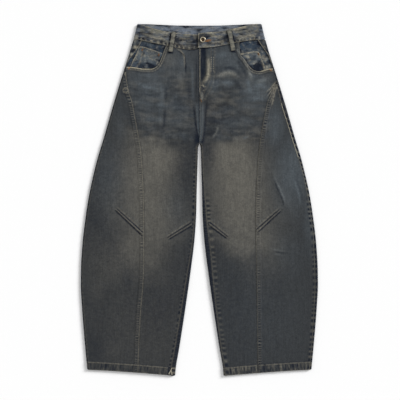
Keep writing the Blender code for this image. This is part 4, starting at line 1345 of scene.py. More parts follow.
@dataclass
class FrontInner(FrontPanel):
    """The panel from the centre front to the curved seam, cut away at the pocket mouth."""

    MOUTH_WEAR_AND_SHADE: ClassVar[SeamWearAndShade] = SeamWearAndShade(
        width=9.0, edge=0.3, crest=0.1, trough=0.2, spacing=6.0, rise=0.25, line=2.0, seed=0.7,
    )
    INSEAM_WEAR: ClassVar[SeamWearAndShade] = SeamWearAndShade(
        width=2.6, edge=0.24, crest=0.0, trough=0.0, spacing=8.0, rise=0.1, line=1.3, seed=4.0,
    )
    FLY_WEAR_AND_SHADE: ClassVar[SeamWearAndShade] = SeamWearAndShade(
        width=5.0, edge=0.62, crest=0.1, trough=0.1, spacing=9.0, rise=0.15, line=1.7, seed=0.4,
    )
    # worn ridges, and deep sunken creases painted as shade
    FLY_CREASES: ClassVar[tuple] = (
        Crease(((26.5, 96), (27.5, 130), (25, 152), (16, 168), (7, 176)), 4.6, 0.8, worn=0.62),
        Crease(((33.5, 84), (34.5, 130), (33, 154), (22, 176), (13, 190)), 2.0, -0.3, deep=0.5),
        Crease(((8, 186), (16, 196), (12, 210)), 5.0, -0.3, deep=0.6),
        Crease(((6, 200), (8, 214), (5, 228)), 4.0, 0.4, pale=0.5, worn=0.25),
    )
    # down, half width of the padded strip below the fly
    STRIP_ROWS: ClassVar[dict] = {
        Side.RIGHT: ((225, 19), (238, 17), (260, 13), (290, 10), (312, 7), (335, 3), (352, 1.5)),
        Side.LEFT: ((225, 22), (238, 19), (260, 17), (290, 15), (312, 14), (335, 11), (352, 6)),
    }

    def outline(self) -> Points:
        """Draws the cut of the panel.

        Returns:
            Its corners, in order.
        """
        side, gap, step = self.side, PATTERN.seam_gap, self.edge_step
        mouth = PATTERN.mouth(side, step)
        across = steps(PATTERN.centre, float(mouth[0, 0]), step)
        top = pairs(across, self.band(2, across) + gap)
        mouth[0] = top[-1]
        mouth[-1, 0] = float(PATTERN.side_seam(side, mouth[-1, 1])) - gap
        seam_start = PATTERN.seam_top(side)
        down = steps(float(mouth[-1, 1]), seam_start, step)[1:]
        side_edge = pairs(PATTERN.side_seam(side, down) - gap, down)
        seam = self.seam("curved_seam", seam_start + 8) - (gap, 0)
        inseam = self.seam("inseam", PATTERN.crotch + 8)[::-1] + (gap, 0)
        hem = PATTERN.hem_edge(seam[-1, 0], inseam[0, 0], step)[1:-1]
        centre = pairs(PATTERN.centre, steps(PATTERN.crotch - 3, float(top[0, 1]), step)[:-1])
        return np.vstack((top, mouth[1:], side_edge, seam, hem, inseam, centre))

    def guide_lines(self) -> list:
        """Draws lines beside the seams, the hem, the dart and the fly.

        Returns:
            The lines.
        """
        side, step = self.side, self.edge_step
        lines = []
        for distance in (2.0, 4.2, 6.8, 9.2, 10.6):
            lines.append(offset(PATTERN.mouth(side, step), distance))
            lines.append(self.seam("curved_seam", PATTERN.seam_top(side) + 12) - (distance, 0))
            lines.append(self.seam("inseam", PATTERN.crotch + 14) + (distance, 0))
            lines.append(pairs(PATTERN.centre + distance, steps(80, PATTERN.crotch - 8, step)))
        lines += super().guide_lines()
        if side is Side.LEFT:
            lines += [offset(PATTERN.fly(step), distance) for distance in (-5.5, -3.0, 0.0, 2.5, 5.0)]
        return lines

    def use(self, marks: Marks) -> None:
        """Wears the panel along the pocket mouth, the seams and the centre front, and paints shadow under the
        waistband and below the belt loop's end.

        Args:
            marks: The panel's marks, which are changed.
        """
        super().use(marks)
        self.sew_mouth(marks)
        self.sew_legs(marks)
        # painted shadow under the waistband's raised edge
        marks.darken(1.2 * bell(marks.down - self.band(2, marks.across), 2.4))
        # painted shadow below the belt loop's lower end
        low_x, low_y = BeltLoop.PLACES[self.side][2:]
        marks.darken(1.6 * bell(marks.across - low_x, 8, 4) * bell(marks.down - low_y - 2, 3.4))
        self.sew_centre(marks)
        if self.side is Side.LEFT:
            self.sew_fly(marks)

    def sew_mouth(self, marks: Marks) -> None:
        """Raises and wears the pocket mouth's twin-stitched edge, with painted shade beside it.

        Args:
            marks: The panel's marks, which are changed.
        """
        is_left = self.side is Side.LEFT
        away, along = locate(marks.flat, PATTERN.mouth(self.side))
        marks.lift += PATTERN.mouth_rise * strip(away, PATTERN.mouth_width)
        low = smooth_step((marks.across - 172) / 20 if is_left else (marks.across - 128) / 16)
        upper = 0.35 + 0.65 * smooth_step((along - 30) / 40) if is_left else 1.0
        self.MOUTH_WEAR_AND_SHADE.press(marks, away, along)
        marks.wear((0.35 + 0.85 * low) * upper * bell(away, 2.6))
        marks.wear(0.36 * upper * bell(away - 7.2, 1.9) * (0.6 + 0.4 * ripple(along, 5.6, 0.3)))
        marks.darken(0.85 * upper * bell(away - 4.2, 1.5))
        # painted shade beside the mouth's raised edge
        marks.darken(0.5 * bell(away - 10.2, 2.0) * (0.7 + 0.3 * ripple(along, 7, 0.9)))

    def sew_legs(self, marks: Marks) -> None:
        """Wears the panel along the curved seam and the inseam, with painted shade beside the lapped seam and
        between the inseam's puckers.

        Args:
            marks: The panel's marks, which are changed.
        """
        side, across, down = self.side, marks.across, marks.down
        is_left = side is Side.LEFT
        from_seam = np.abs(PATTERN.curved_seam(side, down) - across)
        from_seam = np.where(down > PATTERN.seam_top(side), from_seam, FAR)
        wear = SeamWearAndShade(width=6.0, edge=0.1, crest=0.05, trough=0.12, spacing=7.0, rise=0.2,
                        line=1.4, seed=2.0 + side.value)
        wear.press(marks, from_seam, down)
        # painted shade beside the outer panel's raised lapped edge
        marks.darken(0.35 * bell(from_seam - 2.0, 2.0))
        from_inseam = np.where(down > PATTERN.crotch + 4, across - PATTERN.inseam(side, down), FAR)
        self.INSEAM_WEAR.press(marks, from_inseam, down)
        wave = ripple(down, 15.0 if is_left else 13.0, 4.0)
        on_strip = bell(from_inseam - 8.0, 6.5, 4) if is_left else bell(from_inseam - 5.0, 3.6, 4)
        if is_left:
            on_strip = on_strip * smooth_step((down - 450) / 130)
        else:
            marks.darken(0.5 * on_strip)
        # dark ticks between the inseam's puckers: painted pucker shade
        tick = limit(0.35 + wave) * on_strip * (0.62 + 0.38 * marks.noise(26, 29, 0.1))
        marks.darken((1.1 if is_left else 1.5) * tick)
        marks.lift -= 0.3 * tick
        marks.wear((0.18 if is_left else 0.12) * on_strip * limit(-wave))

    def sew_centre(self, marks: Marks) -> None:
        """Raises the seam below the fly down to the crotch, paler with painted highlight streaks, with
        painted shade in the grooves beside it and, on the right half, along the centre line.

        Args:
            marks: The panel's marks, which are changed.
        """
        down = marks.down
        body = down < PATTERN.crotch
        below_fly = body & (down > 225)
        centre = np.where(body, marks.across - PATTERN.centre, FAR)
        half = ease(self.STRIP_ROWS[self.side], 1, down)
        ridge = smooth_step((half - centre) / 4) * below_fly * smooth_step((down - 225) / 28)
        marks.lift += 0.8 * ridge
        # painted highlight streaks on the raised strip
        streak = bell(centre - 0.55 * half, 2.2) + bell(centre - 0.15 * half, 1.6)
        marks.pale = marks.pale * (1 - ridge) + ridge * (0.3 + 0.5 * streak)
        marks.deep *= 1 - 0.8 * ridge
        marks.whisker *= 1 - ridge
        # painted shade in the grooves beside the strip
        groove = bell(centre - half - 1.5, 3.2) * below_fly * smooth_step((down - 228) / 20)
        marks.darken(1.1 * groove * (0.8 + 0.2 * ripple(down, 30, 2.0)))
        # painted shade along the centre, beside the left half's lapping fly edge
        if self.side is Side.RIGHT:
            marks.darken(0.85 * body * bell(centre, 2.6))

    def sew_fly(self, marks: Marks) -> None:
        """Raises the fly front, with its worn edge, its creases, its twin curve and the darkened groove
        inside its edge.

        Args:
            marks: The panel's marks, which are changed.
        """
        across, down = marks.across, marks.down
        edge = np.where(down < 205, across - PATTERN.centre, FAR)
        self.FLY_WEAR_AND_SHADE.press(marks, edge, down)
        within = np.clip(ease(PATTERN.fly_rows, 1, down) - across, 0, 2.5) / 2.5
        marks.lift += PATTERN.fly_rise * within * (down < PATTERN.fly_rows[-1][0])
        # the groove inside the fly's edge, darkened as unfaded cloth and painted shade
        dark_groove = smooth_step((edge - 2.5) / 2.5) * smooth_step((22 - edge) / 5)
        dark_groove = dark_groove * smooth_step((178 - down) / 20)
        marks.darken(dark_groove * (1 + 0.4 * marks.noise(5, 71, 1.0, 0.5)))
        foot, speckle = marks.spot(11, 187, 9, 13, 2), marks.noise(2.8, 72)
        marks.darken(0.9 * foot * limit(0.2 - speckle))
        marks.wear(0.9 * foot * limit(speckle))
        marks.lift -= 0.4 * dark_groove
        for crease in self.FLY_CREASES:
            crease.press(marks)
        from_fly, along = locate(marks.flat, PATTERN.fly(4))
        marks.wear(0.16 * bell(from_fly - 5, 1.6) * (0.6 + 0.4 * ripple(along, 8, 0.9)))
        marks.darken(0.8 * bell(from_fly - 2, 2.2) * limit(ripple(along, 9, 0.9)))


@dataclass
class FrontOuter(FrontPanel):
    """The panel from the curved seam to the side seam. The lapped seam is raised along its edge."""

    panel: Panel = Panel.OUTER
    SIDE_WEAR_AND_SHADE: ClassVar[dict] = {
        Side.RIGHT: SeamWearAndShade(
            width=5.0, edge=0.1, crest=0.1, trough=0.25, spacing=14.0, rise=0.2, line=1.3, seed=5.0,
        ),
        Side.LEFT: SeamWearAndShade(
            width=5.0, edge=0.24, crest=0.1, trough=0.3, spacing=16.0, rise=0.35, line=1.4, seed=5.0,
        ),
    }

    def outline(self) -> Points:
        """Draws the cut of the panel.

        Returns:
            Its corners, in order.
        """
        start = PATTERN.seam_top(self.side) + 6
        side_edge = self.seam("side_seam", start)[::-1] - (PATTERN.seam_gap, 0)
        seam = self.seam("curved_seam", start)
        hem = PATTERN.hem_edge(seam[-1, 0], side_edge[0, 0], self.edge_step)[1:-1]
        return np.vstack((seam, hem, side_edge))

    def guide_lines(self) -> list:
        """Draws lines beside the seams, the hem and the dart.

        Returns:
            The lines.
        """
        start = PATTERN.seam_top(self.side) + 22
        lines = [self.seam("curved_seam", start, 1.4) + (distance, 0)
                 for distance in (1.4, 2.8, 4.4, 6.2, 8.0, 10.4, 12.0, 13.5, 15.5)]
        lines += [self.seam("side_seam", start) - (distance, 0) for distance in (1.4, 3.0, 5.0, 7.0, 9.2)]
        return lines + super().guide_lines()

    def use(self, marks: Marks) -> None:
        """Wears the panel along the lapped seam and the side seam, with painted pucker shade in the seam's
        ladder and the side seam's dashes.

        Args:
            marks: The panel's marks, which are changed.
        """
        super().use(marks)
        side, across, down = self.side, marks.across, marks.down
        is_left = side is Side.LEFT
        from_seam = across - PATTERN.curved_seam(side, down)
        marks.lift += PATTERN.seam_rise * strip(from_seam, PATTERN.seam_width)
        top = smooth_step((400 - down) / 200)
        edge = 0.22 + 0.12 * top if is_left else 0.38 + 0.14 * top
        wear = SeamWearAndShade(width=11.0, edge=edge, crest=0.0, trough=0.0, spacing=5.2, rise=0.12,
                        line=1.25, seed=2.0 + side.value)
        wear.press(marks, from_seam, down)
        # the ladder beside the lapped seam: painted pucker shade, with worn rungs between
        rung = ripple(down, 6.6, 2.0 + side.value)
        ladder = bell(from_seam - 6.4, 4.6, 4) * (0.75 + 0.5 * marks.noise(36, 19, 0.2))
        low_leg = smooth_step((down - 780) / 60) * is_left
        marks.darken((0.68 + 0.3 * top + 0.3 * low_leg) * ladder * limit(0.2 + rung))
        marks.wear((0.18 + 0.03 * top) * ladder * limit(-rung))
        marks.darken(0.22 * bell(from_seam - 2.6, 1.2))
        from_side = PATTERN.side_seam(side, down) - across
        if is_left:
            low = smooth_step((down - 480) / 80)
            marks.wear(0.26 * (1 - low) * bell(from_side, 1.7))
            # dashes along the side seam: painted pucker shade between worn crests
            dash = low * bell(from_side - 5.0, 3.4, 4) * (0.8 + 0.3 * marks.noise(40, 24, 0.2))
            dash_wave = ripple(down, 16.0, 5.0)
            marks.darken(1.2 * dash * limit(0.3 - dash_wave))
            marks.wear(0.2 * dash * limit(dash_wave))
        self.SIDE_WEAR_AND_SHADE[side].press(marks, from_side, down)


@dataclass
class WrappedPiece(ClothPiece):
    """A piece that lies under and turns up round the folded edges on to the front."""

    depth: float = PATTERN.leg_depth
    cloth: float = PATTERN.denim
    has_legs: bool = True

    def unroll(self, across: Values, down: Values) -> Points:
        """Opens the cloth flat round the folded side edge.

        Args:
            across: Places across on the front.
            down: Places down.

        Returns:
            The pattern points.
        """
        radius = self.depth / 2
        edge = PATTERN.outseam(down)
        return pairs(edge - radius + math.pi * radius + (edge - radius - across), down)

    def unroll_inner(self, across: Values, down: Values) -> Points:
        """Opens the cloth flat round the folded inner edge of a leg.

        Args:
            across: Places across on the front.
            down: Places down.

        Returns:
            The pattern points.
        """
        radius = self.depth / 2
        edge = PATTERN.inner_edge(down)
        return pairs(edge + radius - math.pi * radius - (across - edge - radius), down)

    def wrap(self, points: Points, is_inner: bool) -> Points:
        """Turns flat pattern points round the folded edges.

        Args:
            points: Pattern points.
            is_inner: Whether they are on the cloth's inner face.

        Returns:
            Across, down and height of each.
        """
        radius = self.depth / 2
        bend = radius - (self.cloth if is_inner else 0.0)
        flat, down = points.T
        edge = PATTERN.outseam(down) - radius
        turn = np.clip((flat - edge) / radius, 0, math.pi)
        run = np.clip(flat - edge - math.pi * radius, 0, None)
        across = np.where(flat > edge, edge + bend * np.sin(turn) - run, flat)
        height = radius - bend * np.cos(turn)
        if self.has_legs:
            inner = PATTERN.inner_edge(down) + radius
            below = (inner - flat) * (down > PATTERN.crotch)
            turn = np.clip(below / radius, 0, math.pi)
            run = np.clip(below - math.pi * radius, 0, None)
            across = np.where(below > 0, inner - bend * np.sin(turn) + run, across)
            height = np.where(below > 0, radius - bend * np.cos(turn), height)
        return np.column_stack((across, down, height))

    def base(self, points: Points, is_inner: bool) -> Points:
        """Lays the piece under the garment and up round its edges."""
        return self.wrap(points, is_inner)

    def turned_up(self, placed: Points) -> Values:
        """1 on the stretch that lies on the front, 0 underneath, and a rise between round the fold."""
        return smooth_step((placed[:, 2] - self.depth * 0.35) / (self.depth * 0.6))


@dataclass
class BackPanel(WrappedPiece):
    """The back of one half, from the waistband to the hem, folded up round both edges of the leg."""

    pitch: float = 14.0

    def outline(self) -> Points:
        """Draws the cut of the panel, opened flat.

        Returns:
            Its corners, in order.
        """
        gap, radius, step = PATTERN.seam_gap, self.depth / 2, self.edge_step
        edge_top = float(PATTERN.outseam(46)) - radius
        across = steps(PATTERN.centre, edge_top, 12)
        top = pairs(across, ease(PATTERN.back_band_rows, 2, across) + gap)
        across = steps(edge_top, float(PATTERN.side_seam(self.side, 50)), step)
        front_top = self.unroll(across, self.band(2, across) + gap)
        side_edge = self.unroll(*self.seam("side_seam", float(front_top[-1, 1])).T)[1:]
        hem_side = float(PATTERN.outseam(PATTERN.hem_side)) - radius
        hem = PATTERN.hem_edge(hem_side, float(PATTERN.inner_edge(LENGTH)) + radius, 8)
        down = steps(LENGTH, PATTERN.crotch + 11, step)
        inner = self.unroll_inner(PATTERN.inseam(self.side, down), down)
        centre = pairs(PATTERN.centre, steps(PATTERN.crotch, 46 + 2 * gap, 12)[:-1])
        return np.vstack((top, front_top, side_edge, hem, inner, centre))

    def guide_lines(self) -> list:
        """Draws lines round the folded edges, and on the strips that lie on the front.

        Returns:
            The lines.
        """
        radius, lines = self.depth / 2, []
        side_down = steps(49, PATTERN.hem_side, self.edge_step)
        inner_down = steps(PATTERN.crotch + 12, LENGTH, self.edge_step)
        for arc in np.linspace(0, math.pi * radius, 7):
            lines.append(pairs(PATTERN.outseam(side_down) - radius + arc, side_down))
            lines.append(pairs(PATTERN.inner_edge(inner_down) + radius - arc, inner_down))
        top = side_down[:24]
        for distance in (7, 11, 15, 19):
            lines.append(self.unroll(PATTERN.side_seam(self.side, top) + distance, top))
        for distance in (2.0, 4.0):
            lines.append(self.unroll(PATTERN.side_seam(self.side, side_down) + distance, side_down))
            lines.append(self.unroll_inner(PATTERN.inseam(self.side, inner_down) - distance, inner_down))
        return lines

    def use(self, marks: Marks) -> None:
        """Wears the strips that turn up on to the front.

        Args:
            marks: The panel's marks, which are changed.
        """
        side, across, down = self.side, marks.across, marks.down
        WASH.dye(marks, side)
        up = self.turned_up(marks.placed)
        from_side = np.abs(across - PATTERN.side_seam(side, down))
        outer_half = (across > PATTERN.inner_edge(down) + 60) | (down < PATTERN.crotch)
        wave = ripple(down, 16.0, 5.0)
        band = up * outer_half * smooth_step((9 - from_side) / 4) * smooth_step((down - 100) / 30)
        marks.pale *= 1 - 0.6 * up
        marks.wear(band * (0.3 if side is Side.LEFT else 0.08) * limit(wave) ** 2)
        marks.darken(band * (0.4 + 0.9 * limit(0.3 - wave)))
        hip = up * outer_half * smooth_step((125 - down) / 25)
        mottle = marks.noise(8, 22)
        marks.darken(hip * limit(0.3 + 1.4 * mottle))
        marks.pale += hip * limit(0.3 - 0.9 * mottle)
        rubbed = 0.7 if side is Side.RIGHT else 0.3
        marks.wear(hip * limit(rubbed * marks.noise(10, 23)))
        marks.darken((0.9 - rubbed) * hip)
        marks.wear(0.5 * hip * bell(from_side, 2.2))
        leg = up * (1 - outer_half)
        marks.darken(leg * (0.78 + 0.25 * ripple(down, 8.0, 4.0)))
        marks.wear(leg * 0.12 * bell(across - PATTERN.inseam(side, down), 1.5))
        above = PATTERN.hem_line(across) - down
        within = strip(above, PATTERN.hem_height) * up
        marks.wear(within * 0.35 * limit(ripple(above + down * 0.2, 9, 2.2)))
        relief = 0.35 + 0.2 * marks.noise(30, 21) + 0.25 * wave * band + PATTERN.hem_rise * within
        marks.lift = up * (PATTERN.swell(side, across, down) + relief)


@dataclass
class PocketFacing(ClothPiece):
    """The cloth that shows inside the pocket mouth."""

    edge_step: float = 3.0

    def outline(self) -> Points:
        """Draws the cut of the facing.

        Returns:
            Its corners, in order.
        """
        side, gap, step = self.side, PATTERN.seam_gap, self.edge_step
        mouth = PATTERN.mouth(side)
        under = offset(mouth, PATTERN.turn_under)
        under[:, 1] = np.maximum(under[:, 1], self.band(2, under[:, 0]) + gap)
        side_end = float(mouth[-1, 1]) + PATTERN.turn_under
        under = under[under[:, 0] < float(PATTERN.outseam(side_end)) - 12]
        down = steps(52, side_end, step)
        folded = PATTERN.outseam(down) - PATTERN.leg_depth / 2 - 1.5
        side_edge = pairs(np.minimum(PATTERN.side_seam(side, down) + 2, folded), down)
        across = steps(float(under[0, 0]), float(side_edge[0, 0]), step)
        top = pairs(across, self.band(2, across) + gap)
        return np.vstack((top, side_edge[1:], under[::-1][:-1]))

    def base(self, points: Points, is_inner: bool) -> Points:
        """Lays the facing between the back and the front."""
        low = PATTERN.denim + PATTERN.seam_gap
        return raised(points, low if is_inner else low + PATTERN.facing_cloth)

    def use(self, marks: Marks) -> None:
        """Fades the facing's top, and paints shadow along its edges.

        Args:
            marks: The facing's marks, which are changed.
        """
        across, down = marks.across, marks.down
        patches = 0.5 + 0.5 * marks.noise(9, 31)
        marks.lift = 0.12 * marks.noise(14, 32)
        from_band = down - self.band(2, across)
        if self.side is Side.RIGHT:
            marks.pale = 0.75 * bell(across - 150, 26) * smooth_step((22 - from_band) / 12) * patches
        else:
            low = smooth_step((down - 64) / 12)
            marks.pale = (0.15 + 0.45 * low) * patches
            marks.wear(0.4 * low * smooth_step((across - 178) / 8) * limit(2 * patches - 1))
            # painted shadow on the upper facing inside the mouth
            marks.darken(0.6 * (1 - low) * smooth_step((across - 165) / 12))
        # painted shadow under the waistband's edge
        marks.darken(0.9 * bell(from_band, 3.5) * (0.5 + 0.5 * patches))
        # painted shadow under the pocket mouth's edge
        marks.darken(0.9 * bell(locate(marks.flat, PATTERN.mouth(self.side))[0], 5.0))
        marks.darken(0.25 * smooth_step((across - 182) / 10) * smooth_step((down - 84) / 10))


@dataclass
class PocketPatch(ClothPiece):
    """The small pocket sewn on the facing, which runs down to the pocket mouth."""

    pitch: float = 3.2
    edge_step: float = 2.4
    CREASES: ClassVar[dict] = {
        Side.RIGHT: (Crease(((166, 76), (172, 100), (180, 122)), 2.4, 0.3, worn=0.35),),
        Side.LEFT: (
            Crease(((136, 92), (146, 100), (152, 116)), 3.0, 0.3, worn=0.35),
            Crease(((179, 86), (186, 100), (193, 122)), 4.0, 0.3, worn=0.6),
        ),
    }

    def edge_line(self) -> Points:
        """The patch's hemmed top edge and its outer edge."""
        return round_line(PATTERN.patch_points[self.side], self.edge_step)

    def outline(self) -> Points:
        """Draws the cut of the patch.

        Returns:
            Its corners, in order.
        """
        edge = self.edge_line()
        mouth = offset(PATTERN.mouth(self.side, self.edge_step), -0.8)
        along = mouth[(mouth[:, 1] > edge[0, 1] + 2) & (mouth[:, 0] < edge[-1, 0] - 2)]
        return np.vstack((edge, along[::-1]))

    def guide_lines(self) -> list:
        """Lines beside the hemmed edges."""
        return [offset(self.edge_line(), distance) for distance in (2.0, 4.2, 6.6)]

    def base(self, points: Points, is_inner: bool) -> Points:
        """Lays the patch on the facing."""
        low = PATTERN.denim + 2 * PATTERN.seam_gap + PATTERN.facing_cloth
        return raised(points, low if is_inner else low + PATTERN.patch_cloth)

    def use(self, marks: Marks) -> None:
        """Wears the patch's edges, and shades it under the pocket mouth.

        Args:
            marks: The patch's marks, which are changed.
        """
        is_left = self.side is Side.LEFT
        marks.pale = 0.42 + 0.4 * marks.noise(16, 41)
        from_edge, along = locate(marks.flat, self.edge_line())
        line = 3.0 if is_left else 2.0
        wear = SeamWearAndShade(width=8.0, edge=0.9, crest=0.25, trough=0.5, spacing=7.0, rise=0.2,
                        line=line, seed=6.0)
        wear.press(marks, from_edge, along)
        marks.darken(0.9 * bell(locate(marks.flat, PATTERN.mouth(self.side))[0], 4.5))
        if is_left:
            lean = marks.across - 176 + 0.35 * (marks.down - 124)
            gape = (lean / 15) ** 2 + ((marks.down - 124) / 17) ** 2
            marks.darken(1.3 * np.exp(-gape ** 2))
            marks.darken(0.6 * marks.spot(158, 100, 12, 12))
        else:
            marks.darken(marks.spot(160, 121, 30, 7, 2))
            marks.darken(0.6 * marks.spot(124, 96, 8, 12, 2))
            marks.darken(0.4 * marks.spot(150, 84, 12, 12))
            marks.darken(0.6 * marks.spot(168, 90, 7, 12))
            marks.fade = 0.75 * marks.spot(146, 96, 22, 15)
        for crease in self.CREASES[self.side]:
            crease.press(marks)


@dataclass
class BackBand(WrappedPiece):
    """The back of the waistband. Its inner face shows above the front one's top edge."""

    depth: float = PATTERN.band_depth
    cloth: float = PATTERN.band_cloth
    has_legs: bool = False
    pitch: float = 5.0

    def half_outline(self, side: Side) -> Points:
        """The outline of one half, with positive distances across.

        Args:
            side: The half of the garment.

        Returns:
            Its points, from the middle of the top edge to the middle of the bottom edge.
        """
        radius, step, inset = self.depth / 2, self.edge_step, PATTERN.band_side_seam
        top_edge, low_edge = float(PATTERN.outseam(0)), float(PATTERN.outseam(45.6))
        seam_low = float(PATTERN.outseam(45)) - inset
        across = steps(0, top_edge - radius, step)
        top = pairs(across, ease(PATTERN.back_band_rows, 1, across))
        across = steps(top_edge - radius, top_edge - inset, step)
        front_top = self.unroll(across, PATTERN.band_edge(side, 1, across))
        down = steps(float(front_top[-1, 1]), float(PATTERN.band_edge(side, 2, seam_low)), step)
        seam = self.unroll(PATTERN.outseam(down) - inset, down)[1:-1]
        across = steps(seam_low, low_edge - radius, step)
        front_low = self.unroll(across, PATTERN.band_edge(side, 2, across))
        across = steps(low_edge - radius, 0, step)
        low = pairs(across, ease(PATTERN.back_band_rows, 2, across))
        return np.vstack((top, front_top, seam, front_low, low))

    def outline(self) -> Points:
        """The corners of the cut, in order."""
        right = (self.half_outline(Side.RIGHT) * (-1, 1))[::-1]
        return spread_out(np.vstack((self.half_outline(Side.LEFT), right[1:-1])), 0.2)

    def guide_lines(self) -> list:
        """Draws lines round the two folds.

        Returns:
            The lines.
        """
        radius = self.depth / 2
        down = steps(1.5, 44.5, self.edge_step)
        arcs = np.linspace(0, math.pi * radius, 7)
        folds = [pairs(PATTERN.outseam(down) - radius + arc, down) for arc in arcs]
        return [fold * (sign, 1) for fold in folds for sign in (1, -1)]

    def base(self, points: Points, is_inner: bool) -> Points:
        """Lays the band under the front one, and up round both sides of the waist.

        Args:
            points: Pattern points.
            is_inner: Whether they are on the cloth's inner face.

        Returns:
            Across, down and height of each.
        """
        placed = self.wrap(np.abs(points), is_inner)
        placed[:, 0] *= np.where(points[:, 0] < 0, -1.0, 1.0)
        return placed

    def use(self, marks: Marks) -> None:
        """Darkens the band's top edge, and wears its turned sides.

        Args:
            marks: The band's marks, which are changed.
        """
        across, down = marks.across, marks.down
        up = self.turned_up(marks.placed)
        under = 1 - up
        streak = cloth_noise(across * 0.22 + down * 0.3, down, 5.0, 51) + 0.5 * marks.noise(16, 54, 1.0, 2)
        marks.pale = limit(0.75 + 0.5 * streak) * under + up * (0.5 + 0.3 * marks.noise(12, 52))
        marks.darken(np.clip(-0.9 * streak - 0.15, 0, 0.8) * under)
        top = down - ease(PATTERN.back_band_rows, 1, np.abs(across))
        # painted shadow along the band's folded top edge
        marks.darken(0.75 * bell(top, 2.4) * under)
        marks.darken(0.4 * bell(across + 112, 26) * under)
        marks.pale += 0.2 * bell(across - 80, 30) * under
        marks.darken(0.75 * up * bell(np.abs(across) - 181, 7) * bell(down - 12, 12))
        marks.wear(0.4 * up * smooth_step((down - 26) / 10) * (across < 0))
        marks.darken(0.5 * up * smooth_step((down - 30) / 8) * (across > 0))
        marks.lift = up * 0.25 * marks.noise(10, 53)


